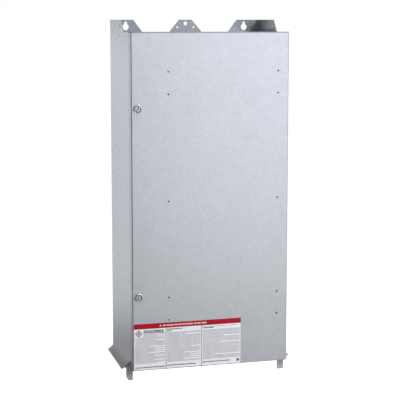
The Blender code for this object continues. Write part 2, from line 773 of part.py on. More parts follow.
def latch_bezel(name, z):
    """Round latch housing: a flange in front, a barrel through the cover."""
    centre = (LATCH_X, z)
    face = FRONT - TOUCH_GAP
    end = COVER_INSIDE + BEZEL_BARREL_LENGTH
    shape = bmesh.new()
    rod(shape, centre, BEZEL_RADIUS, 1, face - BEZEL_THICKNESS, face, FINE_SIDES)
    body = node(name, shape, zinc_plated(name + "_zinc"), smooth=True)
    shape = bmesh.new()
    rod(shape, centre, BEZEL_BARREL_RADIUS, 1, face - BEZEL_THICKNESS / 2, end)
    join(body, shape)
    shape = bmesh.new()
    front = face - BEZEL_THICKNESS
    rod(shape, centre, BEZEL_RECESS_RADIUS, 1, front - OVERSHOOT, front + BEZEL_RECESS_DEPTH, FINE_SIDES)
    cut(body, shape)
    shape = bmesh.new()
    pocket = FRONT + ROTOR_HEAD_THICKNESS
    rod(shape, centre, ROTOR_SHAFT_RADIUS + ROTOR_CLEARANCE, 1, pocket - OVERSHOOT, end + OVERSHOOT)
    cut(body, shape)
    shape = bmesh.new()
    rod(shape, centre, ROTOR_PLUG_RADIUS + HOLE_CLEARANCE, 1, front - OVERSHOOT, pocket)
    return cut(body, shape)


def latch_rotor(name, z):
    """Slotted plug and its shaft, turned with a screwdriver."""
    centre = (LATCH_X, z)
    recess = FRONT - TOUCH_GAP - BEZEL_THICKNESS + BEZEL_RECESS_DEPTH
    head_front = recess - TOUCH_GAP - BEZEL_RECESS_DEPTH / 2
    head_back = FRONT + ROTOR_HEAD_THICKNESS - TOUCH_GAP
    shape = bmesh.new()
    rod(shape, centre, ROTOR_HEAD_RADIUS, 1, head_front, recess - TOUCH_GAP, FINE_SIDES)
    body = node(name, shape, zinc_plated(name + "_zinc"), smooth=True)
    shape = bmesh.new()
    rod(shape, centre, ROTOR_PLUG_RADIUS, 1, recess - TOUCH_GAP * 2, head_back)
    join(body, shape)
    shape = bmesh.new()
    rod(shape, centre, ROTOR_SHAFT_RADIUS, 1, head_back - TOUCH_GAP, PAWL_BACK + PAWL_THICKNESS)
    join(body, shape)
    shape = bmesh.new()
    half = ROTOR_SLOT_WIDTH / 2
    wide = ROTOR_HEAD_RADIUS + OVERSHOOT
    low = (LATCH_X - half, head_front - OVERSHOOT, z - wide)
    block(shape, low, (LATCH_X + half, head_front + ROTOR_SLOT_DEPTH, z + wide))
    cut(body, shape)
    return body


def latch_pawl(name, z):
    """Flat cam on the shaft's end. It hangs down when the latch is open."""
    front = PAWL_BACK - PAWL_THICKNESS
    tip_centre = (LATCH_X, z - PAWL_REACH + PAWL_HALF_WIDTH)
    tip = circle(tip_centre, PAWL_HALF_WIDTH, math.pi, math.pi, SMALL_SIDES // 2)
    tail_centre = (LATCH_X, z + PAWL_TAIL - PAWL_HALF_WIDTH)
    tail = circle(tail_centre, PAWL_HALF_WIDTH, 0.0, math.pi, SMALL_SIDES // 2)
    shape = bmesh.new()
    prism(shape, tip + tail, 1, front, PAWL_BACK)
    body = node(name, shape, zinc_plated(name + "_zinc"))
    shape = bmesh.new()
    bore = ROTOR_SHAFT_RADIUS + TOUCH_GAP / 2
    rod(shape, (LATCH_X, z), bore, 1, front - OVERSHOOT, PAWL_BACK + OVERSHOOT)
    return cut(body, shape)


def latch_nut(name, z):
    """Hex nut that clamps one latch housing to the cover."""
    shape = bmesh.new()
    front = COVER_INSIDE + TOUCH_GAP
    hexagon = circle((LATCH_X, z), LATCH_NUT_WIDTH / math.sqrt(3), steps=6)
    prism(shape, hexagon, 1, front, front + LATCH_NUT_THICKNESS)
    body = node(name, shape, zinc_plated(name + "_zinc"))
    shape = bmesh.new()
    bore = BEZEL_BARREL_RADIUS + TOUCH_GAP
    rod(shape, (LATCH_X, z), bore, 1, front - OVERSHOOT, front + LATCH_NUT_THICKNESS + OVERSHOOT)
    return cut(body, shape)


def latch_strike_rail():
    """Angle rail inside the left wall, which both turned pawls catch. Its foot runs forwards."""
    shape = bmesh.new()
    wall = -WALL_IN + TOUCH_GAP
    back = PAWL_BACK - PAWL_THICKNESS - STRIKE_PAWL_GAP
    outline = [
        (wall, back),
        (wall + STRIKE_REACH, back),
        (wall + STRIKE_REACH, back - SHEET),
        (wall + SHEET, back - SHEET),
        (wall + SHEET, back - SHEET - STRIKE_FOOT),
        (wall, back - SHEET - STRIKE_FOOT),
    ]
    low = LATCH_HEIGHTS["lower"] - STRIKE_OVERRUN
    prism(shape, outline, 2, low, LATCH_HEIGHTS["upper"] + STRIKE_OVERRUN)
    return node("latch_strike_rail", shape, galvanised("strike_galvanised"))


# ---------------------------------------------------------------- hinges


def knuckle_levels(z):
    """Edges between the knuckles of one hinge, from bottom to top."""
    step = HINGE_LENGTH / HINGE_KNUCKLES
    return [z - HINGE_LENGTH / 2 + step * index for index in range(HINGE_KNUCKLES + 1)]


def hinge_barrels(shape, z, knuckles):
    """Solid knuckle barrels, before the pin hole is cut."""
    levels = knuckle_levels(z)
    for index in knuckles:
        low = levels[index] + HINGE_KNUCKLE_GAP
        high = levels[index + 1] - HINGE_KNUCKLE_GAP
        rod(shape, (HINGE_X, HINGE_Y), HINGE_BARREL_RADIUS, 2, low, high)


def hinge_clearance(shape, z, knuckles):
    """Room round the other leaf's knuckles and the pin's bore."""
    levels = knuckle_levels(z)
    reach = HINGE_BARREL_RADIUS + HINGE_OPEN_CLEARANCE
    for index in knuckles:
        low = levels[index] - HINGE_KNUCKLE_GAP
        high = levels[index + 1] + HINGE_KNUCKLE_GAP
        corner = (HINGE_X - reach, HINGE_Y - reach, low)
        block(shape, corner, (HINGE_X + reach, HINGE_Y + reach, high))


def hinge_leaf(name, z, outline, mine, other):
    """One leaf: a bent plate with its share of the knuckles."""
    shape = bmesh.new()
    prism(shape, outline, 2, z - HINGE_LENGTH / 2, z + HINGE_LENGTH / 2)
    body = node(name, shape, zinc_plated(name + "_zinc"), smooth=True)
    shape = bmesh.new()
    hinge_clearance(shape, z, other)
    cut(body, shape)
    shape = bmesh.new()
    hinge_barrels(shape, z, mine)
    join(body, shape)
    shape = bmesh.new()
    bore = HINGE_PIN_RADIUS + TOUCH_GAP
    rod(shape, (HINGE_X, HINGE_Y), bore, 2, z - HINGE_LENGTH, z + HINGE_LENGTH)
    return cut(body, shape)


def wall_leaf_outline():
    """Plan of the leaf on the box's wall, stepped out to the barrel."""
    wall = WALL_OUT + TOUCH_GAP
    barrel = HINGE_X - HINGE_BARREL_RADIUS
    joggle = HINGE_Y + HINGE_BARREL_RADIUS + HINGE_OPEN_CLEARANCE
    end = HINGE_Y + HINGE_WALL_LEAF_WIDTH
    return [
        (barrel + TOUCH_GAP, HINGE_Y),
        (barrel + TOUCH_GAP, joggle),
        (wall, joggle + SHEET),
        (wall, end),
        (wall + HINGE_LEAF, end),
        (wall + HINGE_LEAF, joggle + SHEET * 2),
        (barrel + TOUCH_GAP + HINGE_LEAF, joggle + SHEET),
        (barrel + TOUCH_GAP + HINGE_LEAF, HINGE_Y),
    ]


def cover_leaf_outline():
    """Plan of the leaf on the cover's flange."""
    inner = COVER_HALF + TOUCH_GAP
    front = HINGE_Y - HINGE_LEAF_WIDTH
    return [(inner, front), (inner + HINGE_LEAF, front), (inner + HINGE_LEAF, HINGE_Y), (inner, HINGE_Y)]


def hinge_pin(name, z):
    """Headed pin through all the knuckles."""
    shape = bmesh.new()
    low = z - HINGE_LENGTH / 2 - TOUCH_GAP
    high = z + HINGE_LENGTH / 2 + TOUCH_GAP
    rod(shape, (HINGE_X, HINGE_Y), HINGE_PIN_RADIUS, 2, low, high)
    body = node(name, shape, zinc_plated(name + "_zinc"), smooth=True)
    shape = bmesh.new()
    rod(shape, (HINGE_X, HINGE_Y), HINGE_PIN_HEAD_RADIUS, 2, high - TOUCH_GAP, high + HINGE_PIN_HEAD)
    return join(body, shape)


def hinges(cover_pivot):
    """Both hinges with their pins."""
    outer = range(0, HINGE_KNUCKLES, 2)
    inner = range(1, HINGE_KNUCKLES, 2)
    for label, z in LATCH_HEIGHTS.items():
        hinge_leaf(label + "_hinge_wall_leaf", z, wall_leaf_outline(), outer, inner)
        leaf = hinge_leaf(label + "_hinge_cover_leaf", z, cover_leaf_outline(), inner, outer)
        hang(leaf, cover_pivot)
        hinge_pin(label + "_hinge_pin", z)


# ---------------------------------------------------------------- interior frame


def pan_limits():
    """Bottom and top of the interior pan."""
    return STACK_BOTTOM - PAN_OVERHANG, MAIN_TOP + PAN_OVERHANG


def interior_pan():
    """Channel-shaped back pan. Its flanges carry the outer ends of the breakers."""
    half = PAN_HALF_WIDTH
    inner = half - PAN_SHEET
    outline = [
        (-half, PAN_FLANGE_TIP),
        (-half, PAN_BACK),
        (half, PAN_BACK),
        (half, PAN_FLANGE_TIP),
        (inner, PAN_FLANGE_TIP),
        (inner, PAN_FRONT),
        (-inner, PAN_FRONT),
        (-inner, PAN_FLANGE_TIP),
    ]
    low, high = pan_limits()
    shape = bmesh.new()
    prism(shape, outline, 2, low, high)
    return node("interior_pan", shape, galvanised("pan_galvanised"))


def pan_bracket(name, z, side):
    """Z-shaped cross bracket that holds the pan off the back wall."""
    back = BACK_IN - TOUCH_GAP
    front = PAN_BACK + TOUCH_GAP
    outline = [
        (front, z),
        (front, z + side * BRACKET_LEG),
        (front + PAN_SHEET, z + side * BRACKET_LEG),
        (front + PAN_SHEET, z + side * PAN_SHEET),
        (back, z + side * PAN_SHEET),
        (back, z - side * BRACKET_LEG),
        (back - PAN_SHEET, z - side * BRACKET_LEG),
        (back - PAN_SHEET, z),
    ]
    shape = bmesh.new()
    prism(shape, outline, 0, -BRACKET_HALF_WIDTH, BRACKET_HALF_WIDTH)
    return node(name, shape, galvanised(name + "_galvanised"))


def pan_brackets():
    """Upper and lower cross brackets."""
    low, high = pan_limits()
    pan_bracket("pan_bracket_lower", low + BRACKET_INSET, 1)
    pan_bracket("pan_bracket_upper", high - BRACKET_INSET, -1)


def bus_support_base():
    """Moulded base on the pan, with ribs under the bus bars and a block under the main breaker."""
    back = PAN_FRONT - TOUCH_GAP
    front = BUS_BACK + TOUCH_GAP
    half = SUPPORT_HALF_WIDTH
    shape = bmesh.new()
    block(shape, (-half, back - SUPPORT_BASE, STACK_BOTTOM), (half, back, MAIN_TOP))
    body = node("bus_support_base", shape, insulator_red("support_red"))
    low = STACK_BOTTOM + SUPPORT_RIB_LENGTH
    high = MAIN_BOTTOM + SUPPORT_RIB_LENGTH
    pitch = (high - low) / (SUPPORT_RIB_COUNT - 1)
    foot = SUPPORT_RIB_LENGTH / 2
    inside = back - SUPPORT_BASE / 2
    shape = bmesh.new()
    for offset in spread(SUPPORT_RIB_COUNT, pitch):
        z = (low + high) / 2 + offset
        block(shape, (-half + SHEET, front, z - foot), (half - SHEET, inside, z + foot))
    z = MAIN_TOP - SUPPORT_RIB_LENGTH
    block(shape, (-half + SHEET, BREAKER_BACK + TOUCH_GAP, z - foot), (half - SHEET, inside, z + foot))
    return join(body, shape)


def bus_bar(name, x):
    """One vertical phase bar under the breakers' inner ends."""
    shape = bmesh.new()
    half = BUS_BAR_WIDTH / 2
    low = (x - half, BUS_FRONT, STACK_BOTTOM)
    block(shape, low, (x + half, BUS_BACK, MAIN_BOTTOM + MAIN_TERMINAL_LENGTH))
    return node(name, shape, tinned_bus(name + "_tin"))


def terminal_bar(name, side, length, back):
    """A terminal bar in a gutter, cross-drilled for its wires."""
    x = side * GUTTER_X
    half = TERMINAL_BAR_WIDTH / 2
    front = back - TERMINAL_BAR_THICKNESS
    shape = bmesh.new()
    block(shape, (x - half, front, -length / 2), (x + half, back, length / 2))
    body = node(name, shape, lug_aluminium(name + "_aluminium"))
    shape = bmesh.new()
    middle = (front + back) / 2
    through = half + OVERSHOOT
    for z in spread(int(length / WIRE_HOLE_PITCH), WIRE_HOLE_PITCH):
        rod(shape, (middle, z), WIRE_HOLE_RADIUS, 0, x - through, x + through, SMALL_SIDES)
    return cut(body, shape)


def neutral_assembly():
    """Neutral bar on a two-post insulator in the right gutter."""
    back = BACK_IN - TOUCH_GAP * 2 - NEUTRAL_INSULATOR_HEIGHT
    terminal_bar("neutral_bar", 1, NEUTRAL_BAR_LENGTH, back)
    wall = BACK_IN - TOUCH_GAP
    front = back + TOUCH_GAP
    reach = NEUTRAL_BAR_LENGTH / 2
    outline = [
        (front, -reach),
        (wall, -reach),
        (wall, -reach + NEUTRAL_INSULATOR_POST),
        (front + NEUTRAL_INSULATOR_WEB, -reach + NEUTRAL_INSULATOR_POST),
        (front + NEUTRAL_INSULATOR_WEB, reach - NEUTRAL_INSULATOR_POST),
        (wall, reach - NEUTRAL_INSULATOR_POST),
        (wall, reach),
        (front, reach),
    ]
    half = TERMINAL_BAR_WIDTH / 2
    shape = bmesh.new()
    prism(shape, outline, 0, GUTTER_X - half, GUTTER_X + half)
    return node("neutral_insulator", shape, insulator_red("neutral_insulator_red"))


# ---------------------------------------------------------------- deadfront


def deadfront_screw_places():
    """Names and centres of the four deadfront screws, seen from the front."""
    x = WALL_IN - DEADFRONT_MARGIN - DEADFRONT_SCREW_INSET
    z = RAIL_HEIGHT / 2 - DEADFRONT_END_GAP
    return {
        "lower_left": (-x, -z),
        "lower_right": (x, -z),
        "upper_left": (-x, z),
        "upper_right": (x, z),
    }


def window_cutters(shape):
    """Windows for the noses of the main and the branch breakers."""
    y_low = DEADFRONT_FRONT - OVERSHOOT
    y_high = DEADFRONT_BACK + OVERSHOOT
    half = BRANCH_NOSE_WIDTH / 2 + WINDOW_CLEARANCE
    for side in (-1, 1):
        x = side * BRANCH_NOSE_CENTRE
        low = (x - half, y_low, STACK_BOTTOM - WINDOW_CLEARANCE)
        block(shape, low, (x + half, y_high, BRANCH_TOP + WINDOW_CLEARANCE))
    half = MAIN_NOSE_HALF_WIDTH + WINDOW_CLEARANCE
    reach = MAIN_NOSE_HEIGHT / 2 + WINDOW_CLEARANCE
    block(shape, (-half, y_low, MAIN_CENTRE - reach), (half, y_high, MAIN_CENTRE + reach))


def deadfront_panel():
    """Inner safety cover with a rear-turned edge at the top and the bottom."""
    edge = WALL_IN - DEADFRONT_MARGIN
    reach = BOX_HEIGHT / 2 - DEADFRONT_END_GAP
    shape = bmesh.new()
    block(shape, (-edge, DEADFRONT_FRONT, -reach), (edge, DEADFRONT_BACK, reach))
    body = node("deadfront_panel", shape, painted_grey("deadfront_grey"))
    for side in (-1, 1):
        shape = bmesh.new()
        ends = sorted((side * reach, side * (reach - SHEET)))
        low = (-edge, DEADFRONT_FRONT + SHEET / 2, ends[0])
        block(shape, low, (edge, DEADFRONT_BACK + DEADFRONT_EDGE, ends[1]))
        join(body, shape)
    shape = bmesh.new()
    window_cutters(shape)
    for place in deadfront_screw_places().values():
        bore = DEADFRONT_SCREW_SHANK + HOLE_CLEARANCE
        rod(shape, place, bore, 1, DEADFRONT_FRONT - OVERSHOOT, DEADFRONT_BACK + OVERSHOOT, SMALL_SIDES)
    return cut(body, shape)


def deadfront_rail(name, side):
    """Angle rail on a side wall that carries the deadfront."""
    wall = side * (WALL_IN - TOUCH_GAP)
    tip = side * (WALL_IN - TOUCH_GAP - RAIL_LEG)
    step = side * (WALL_IN - TOUCH_GAP - SHEET)
    face = DEADFRONT_BACK + TOUCH_GAP
    outline = [
        (wall, face),
        (tip, face),
        (tip, face + SHEET),
        (step, face + SHEET),
        (step, face + RAIL_LEG),
        (wall, face + RAIL_LEG),
    ]
    shape = bmesh.new()
    prism(shape, outline, 2, -RAIL_HEIGHT / 2, RAIL_HEIGHT / 2)
    body = node(name, shape, galvanised(name + "_galvanised"))
    shape = bmesh.new()
    for place in deadfront_screw_places().values():
        if place[0] * side > 0:
            bore = DEADFRONT_SCREW_SHANK + TOUCH_GAP
            rod(shape, place, bore, 1, face - OVERSHOOT, face + SHEET + OVERSHOOT, SMALL_SIDES)
    return cut(body, shape)


def deadfront_screw(name, place):
    """Slotted screw through the deadfront into its rail."""
    x, z = place
    face = DEADFRONT_FRONT - TOUCH_GAP
    front = face - DEADFRONT_SCREW_HEAD
    end = DEADFRONT_BACK + DEADFRONT_SCREW_END
    shape = bmesh.new()
    rod(shape, place, DEADFRONT_SCREW_HEAD_RADIUS, 1, front, face)
    body = node(name, shape, zinc_plated(name + "_zinc"), smooth=True)
    shape = bmesh.new()
    rod(shape, place, DEADFRONT_SCREW_SHANK, 1, face - DEADFRONT_SCREW_HEAD / 2, end, SMALL_SIDES)
    join(body, shape)
    shape = bmesh.new()
    slot = DEADFRONT_SCREW_SLOT / 2
    wide = DEADFRONT_SCREW_HEAD_RADIUS + OVERSHOOT
    low = (x - wide, front - OVERSHOOT, z - slot)
    block(shape, low, (x + wide, front + DEADFRONT_SCREW_SLOT_DEPTH, z + slot))
    return cut(body, shape)


# ---------------------------------------------------------------- breakers


def branch_case(name, side, z):
    """Branch breaker case: a block, a raised nose, a toggle slot and three wire terminals."""
    reach = BRANCH_PITCH / 2 - BRANCH_GAP / 2
    half = BRANCH_NOSE_WIDTH / 2
    nose = DEADFRONT_FRONT - BRANCH_NOSE_PROUD
    centre = side * BRANCH_NOSE_CENTRE
    outline = [
        (side * BRANCH_INNER_END, BREAKER_BACK),
        (side * BRANCH_OUTER_END, BREAKER_BACK),
        (side * BRANCH_OUTER_END, BREAKER_FACE),
        (centre + side * half, BREAKER_FACE),
        (centre + side * half, nose),
        (centre - side * half, nose),
        (centre - side * half, BREAKER_FACE),
        (side * BRANCH_INNER_END, BREAKER_FACE),
    ]
    shape = bmesh.new()
    prism(shape, outline, 2, z - reach, z + reach)
    body = node(name, shape, black_plastic(name + "_black"))
    shape = bmesh.new()
    slot = BRANCH_HUB_WIDTH / 2 + HUB_CLEARANCE
    axis = nose + BRANCH_SLOT_SHOULDER
    rod(shape, (centre, axis), BRANCH_HUB_RADIUS + HUB_CLEARANCE, 2, z - slot, z + slot, FINE_SIDES)
    outer = sorted((side * (BRANCH_OUTER_END + OVERSHOOT), side * (BRANCH_OUTER_END - TERMINAL_LENGTH)))
    for offset in spread(POLE_COUNT, POLE_PITCH):
        foot = TERMINAL_WIDTH / 2
        low = (outer[0], BREAKER_FACE - OVERSHOOT, z + offset - foot)
        block(shape, low, (outer[1], BREAKER_FACE + TERMINAL_DEPTH, z + offset + foot))
    return cut(body, shape)


def toggle(name, finish, hub_radius, hub_width, root, tip, reach, along):
    """A toggle about its own origin: a round hub with a tapered lever towards -Y.

    The hub turns about axis `along`, which is X (0) or Z (2).
    """
    shape = bmesh.new()
    rod(shape, (0.0, 0.0), hub_radius, along, -hub_width / 2, hub_width / 2, FINE_SIDES)
    body = node(name, shape, finish, smooth=True)
    inside = -hub_radius / 2
    if along == 2:
        lever = [(-root, inside), (-tip, -reach), (tip, -reach), (root, inside)]
    else:
        lever = [(inside, -root), (-reach, -tip), (-reach, tip), (inside, root)]
    shape = bmesh.new()
    prism(shape, lever, along, -hub_width / 2 + TOUCH_GAP, hub_width / 2 - TOUCH_GAP)
    return join(body, shape)


def branch_handle(name, side, z):
    """Branch toggle, resting at off with its lever leaning outwards."""
    body = toggle(
        name,
        handle_plastic(name + "_black"),
        BRANCH_HUB_RADIUS,
        BRANCH_HUB_WIDTH,
        BRANCH_LEVER_ROOT,
        BRANCH_LEVER_TIP,
        BRANCH_LEVER_REACH,
        2,
    )
    axis = DEADFRONT_FRONT - BRANCH_NOSE_PROUD + BRANCH_SLOT_SHOULDER
    body.location = (side * BRANCH_NOSE_CENTRE, axis, z)
    body.rotation_euler = (0.0, 0.0, side * math.radians(HANDLE_TILT))
    return body


def branch_height(row):
    """Centre height of one row, counted down from 1 at the top."""
    return BRANCH_TOP - BRANCH_PITCH * (row - 0.5)


def branch_breakers():
    """Two columns of branch breakers with their toggles. One place holds the filler."""
    for column, side in (("left", -1), ("right", 1)):
        for row in range(1, BRANCH_ROWS + 1):
            if (column, row) == FILLER_SLOT:
                continue
            z = branch_height(row)
            branch_case(f"branch_case_{column}_{row}", side, z)
            branch_handle(f"branch_handle_{column}_{row}", side, z)


def filler_plate():
    """Snap-in blank that closes the one unused place in the deadfront."""
    column, row = FILLER_SLOT
    side = -1 if column == "left" else 1
    x = side * BRANCH_NOSE_CENTRE
    z = branch_height(row)
    half = BRANCH_NOSE_WIDTH / 2
    reach = BRANCH_PITCH / 2 - BRANCH_GAP / 2
    back = DEADFRONT_FRONT - TOUCH_GAP
    shape = bmesh.new()
    lap = half + WINDOW_CLEARANCE + FILLER_LAP
    block(shape, (x - lap, back - FILLER_SHEET, z - reach), (x + lap, back, z + reach))
    body = node("filler_plate", shape, black_plastic("filler_black"))
    shape = bmesh.new()
    low = (x - half, back - FILLER_SHEET / 2, z - reach + SHEET)
    block(shape, low, (x + half, back + FILLER_LIP_DEPTH, z + reach - SHEET))
    join(body, shape)
    shape = bmesh.new()
    low = (x - half + FILLER_SHEET, back, z - reach + SHEET + FILLER_SHEET)
    high = (x + half - FILLER_SHEET, back + FILLER_LIP_DEPTH + OVERSHOOT, z + reach - SHEET - FILLER_SHEET)
    block(shape, low, high)
    return cut(body, shape)


def main_case():
    """Main breaker case with its nose, toggle slot, button hole and three line terminals."""
    nose = DEADFRONT_FRONT - MAIN_NOSE_PROUD
    reach = MAIN_NOSE_HEIGHT / 2
    outline = [
        (BREAKER_BACK, MAIN_BOTTOM),
        (BREAKER_BACK, MAIN_TOP),
        (BREAKER_FACE, MAIN_TOP),
        (BREAKER_FACE, MAIN_BOTTOM),
    ]
    shape = bmesh.new()
    prism(shape, outline, 0, -MAIN_HALF_WIDTH, MAIN_HALF_WIDTH)
    body = node("main_breaker_case", shape, black_plastic("main_case_black"))
    shape = bmesh.new()
    low = (-MAIN_NOSE_HALF_WIDTH, nose, MAIN_CENTRE - reach)
    block(shape, low, (MAIN_NOSE_HALF_WIDTH, BREAKER_FACE + OVERSHOOT, MAIN_CENTRE + reach))
    join(body, shape)
    shape = bmesh.new()
    slot = MAIN_HUB_WIDTH / 2 + HUB_CLEARANCE
    axis = nose + MAIN_SLOT_SHOULDER
    rod(shape, (axis, MAIN_CENTRE), MAIN_HUB_RADIUS + HUB_CLEARANCE, 0, -slot, slot, FINE_SIDES)
    button_end = nose - BUTTON_PROUD + BUTTON_LENGTH + BUTTON_TRAVEL + TOUCH_GAP
    button = (BUTTON_SIDE_OFFSET, MAIN_CENTRE - BUTTON_DROP)
    rod(shape, button, BUTTON_RADIUS + HOLE_CLEARANCE, 1, nose - OVERSHOOT, button_end)
    foot = MAIN_TERMINAL_WIDTH / 2
    for x in spread(POLE_COUNT, MAIN_POLE_PITCH):
        low = (x - foot, BREAKER_FACE - OVERSHOOT, MAIN_TOP - MAIN_TERMINAL_LENGTH)
        block(shape, low, (x + foot, BREAKER_FACE + MAIN_TERMINAL_DEPTH, MAIN_TOP + OVERSHOOT))
    return cut(body, shape)


def main_handle():
    """Main toggle, resting at off with its lever leaning down."""
    body = toggle(
        "main_breaker_handle",
        handle_plastic("main_handle_black"),
        MAIN_HUB_RADIUS,
        MAIN_HUB_WIDTH,
        MAIN_LEVER_ROOT,
        MAIN_LEVER_TIP,
        MAIN_LEVER_REACH,
        0,
    )
    axis = DEADFRONT_FRONT - MAIN_NOSE_PROUD + MAIN_SLOT_SHOULDER
    body.location = (0.0, axis, MAIN_CENTRE)
    body.rotation_euler = (math.radians(HANDLE_TILT), 0.0, 0.0)
    return body


def main_trip_button():
    """Round push-to-trip button beside the main toggle."""
    shape = bmesh.new()
    rod(shape, (0.0, 0.0), BUTTON_RADIUS, 1, -BUTTON_PROUD, BUTTON_LENGTH - BUTTON_PROUD)
    finish = material("trip_button_red", (0.45, 0.03, 0.02), 0.40, 0.0)
    body = node("main_trip_button", shape, finish, smooth=True)
    nose = DEADFRONT_FRONT - MAIN_NOSE_PROUD
    body.location = (BUTTON_SIDE_OFFSET, nose, MAIN_CENTRE - BUTTON_DROP)
    return body


def line_lug(name, x):
    """Wire lug with its clamping screw in one of the main's line terminals."""
    back = BREAKER_FACE + MAIN_TERMINAL_DEPTH - TOUCH_GAP
    front = back - LUG_HEIGHT
    low = MAIN_TOP - LUG_LENGTH
    foot = LUG_WIDTH / 2
    shape = bmesh.new()
    block(shape, (x - foot, front, low), (x + foot, back, MAIN_TOP))
    body = node(name, shape, lug_aluminium(name + "_aluminium"))
    shape = bmesh.new()
    bore = (x, back - LUG_BORE_RADIUS - LUG_FLOOR)
    rod(shape, bore, LUG_BORE_RADIUS, 2, low - OVERSHOOT, MAIN_TOP + OVERSHOOT)
    cut(body, shape)
    shape = bmesh.new()
    screw = (x, (low + MAIN_TOP) / 2)
    rod(shape, screw, LUG_SCREW_RADIUS, 1, front - LUG_SCREW_PROUD, front + OVERSHOOT, SMALL_SIDES)
    return join(body, shape)


# ---------------------------------------------------------------- assembly


def build_enclosure():
    """The fixed sheet metal."""
    enclosure_wrapper()
    top_wall()
    bottom_wall()
    latch_strike_rail()


def build_cover():
    """Everything that swings with the cover, under one pivot on the hinge axis."""
    swing = pivot("cover_pivot", (HINGE_X, HINGE_Y, 0.0))
    hang(front_cover(), swing)
    hang(cover_stiffener("cover_stiffener_left", COVER_COLUMNS[0]), swing)
    hang(cover_stiffener("cover_stiffener_right", COVER_COLUMNS[1]), swing)
    hang(cover_label(), swing)
    for label, z in LATCH_HEIGHTS.items():
        hang(latch_bezel(label + "_latch_bezel", z), swing)
        hang(latch_nut(label + "_latch_nut", z), swing)
        turn = hang(pivot(label + "_latch_pivot", (LATCH_X, 0.0, z)), swing)
        hang(latch_rotor(label + "_latch_rotor", z), turn)
        hang(latch_pawl(label + "_latch_pawl", z), turn)
    hinges(swing)


def build_interior():
    """Pan, conductors, breakers and deadfront."""
    interior_pan()
    pan_brackets()
    bus_support_base()
    for letter, x in zip("abc", spread(POLE_COUNT, BUS_BAR_PITCH)):
        bus_bar("bus_bar_" + letter, x)
    neutral_assembly()
    terminal_bar("ground_bar", -1, GROUND_BAR_LENGTH, BACK_IN - TOUCH_GAP)
    branch_breakers()
    filler_plate()
    main_case()
    main_handle()
    main_trip_button()
    for letter, x in zip("abc", spread(POLE_COUNT, MAIN_POLE_PITCH)):
        line_lug("line_lug_" + letter, x)
    deadfront_panel()
    deadfront_rail("deadfront_rail_left", -1)
    deadfront_rail("deadfront_rail_right", 1)
    for label, place in deadfront_screw_places().items():
        deadfront_screw("deadfront_screw_" + label, place)


clear_scene()
build_enclosure()
build_cover()
build_interior()
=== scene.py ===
"""Looks of a wall-hung breaker panel box, laid out as an add-on and run as a script.

Axes: +X to the right of the cover, +Y towards the wall, +Z up, in metres. Every piece is modelled
in place, so each object's own origin stays at the frame's origin.
"""

import json
import math

import bmesh
import bpy
from mathutils import Matrix, Vector


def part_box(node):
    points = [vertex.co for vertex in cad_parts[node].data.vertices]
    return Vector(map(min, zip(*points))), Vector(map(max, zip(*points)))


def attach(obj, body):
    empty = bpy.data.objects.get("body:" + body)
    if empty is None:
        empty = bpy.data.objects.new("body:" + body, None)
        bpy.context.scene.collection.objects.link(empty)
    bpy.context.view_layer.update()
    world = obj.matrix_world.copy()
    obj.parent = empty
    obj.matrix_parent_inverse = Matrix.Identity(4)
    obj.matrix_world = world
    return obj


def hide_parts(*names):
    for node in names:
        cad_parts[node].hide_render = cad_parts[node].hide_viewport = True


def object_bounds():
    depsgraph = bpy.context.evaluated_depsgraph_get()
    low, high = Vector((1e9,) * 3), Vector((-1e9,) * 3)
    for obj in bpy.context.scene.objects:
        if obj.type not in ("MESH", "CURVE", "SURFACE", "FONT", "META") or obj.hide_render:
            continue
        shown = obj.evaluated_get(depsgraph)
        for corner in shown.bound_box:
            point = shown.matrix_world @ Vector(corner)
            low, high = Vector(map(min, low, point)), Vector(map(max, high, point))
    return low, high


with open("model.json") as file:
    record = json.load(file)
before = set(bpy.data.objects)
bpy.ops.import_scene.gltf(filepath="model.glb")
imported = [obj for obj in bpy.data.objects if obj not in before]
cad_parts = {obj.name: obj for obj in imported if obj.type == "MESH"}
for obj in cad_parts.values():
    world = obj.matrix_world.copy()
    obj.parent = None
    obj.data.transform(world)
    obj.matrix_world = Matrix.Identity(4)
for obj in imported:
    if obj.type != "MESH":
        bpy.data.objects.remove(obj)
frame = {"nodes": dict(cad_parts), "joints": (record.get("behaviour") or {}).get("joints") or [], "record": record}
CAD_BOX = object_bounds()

bl_info = {
    "name": "Breaker Panel Box Looks",
    "version": (1, 0, 0),
    "blender": (4, 5, 0),
    "location": "View3D > Sidebar > Panel Box",
    "description": "Builds the sheet metal, label, latches, breakers and stage of a panel box",
    "category": "Add Mesh",
}

# Vertices closer than this are one.
WELD = 0.00002
# Sides of a large and of a small round.
ROUND_STEPS = 48
SMALL_STEPS = 20
# The walls of a small punched hole have faces of less than this area, in square metres.
SMALL_HOLE_FACE = 0.000004

# Sheet of a hinge leaf, and the gap that it keeps from what it lies on.
LEAF_SHEET = 0.0018
LEAF_GAP = 0.0003
RIVET_RADIUS = 0.0026
RIVET_HEIGHT = 0.0012
RIVET_SHARES = (0.15, 0.5, 0.85)

WIRE_SCREW_PITCH = 0.022

# Half the width of a branch breaker's front, and half the main breaker's front along X and Z.
FACE_HALF = 0.036
MAIN_FACE_HALF = (0.046, 0.060)
COOL_WHITE = (0.97, 0.98, 1.0)

# How far marks, plates and frames stand out of a breaker's front or sink into it.
MARK_PROUD = 0.0003
MARK_SUNK = 0.0001
PLATE_SUNK = 0.00005


# ---------------------------------------------------------------- settings


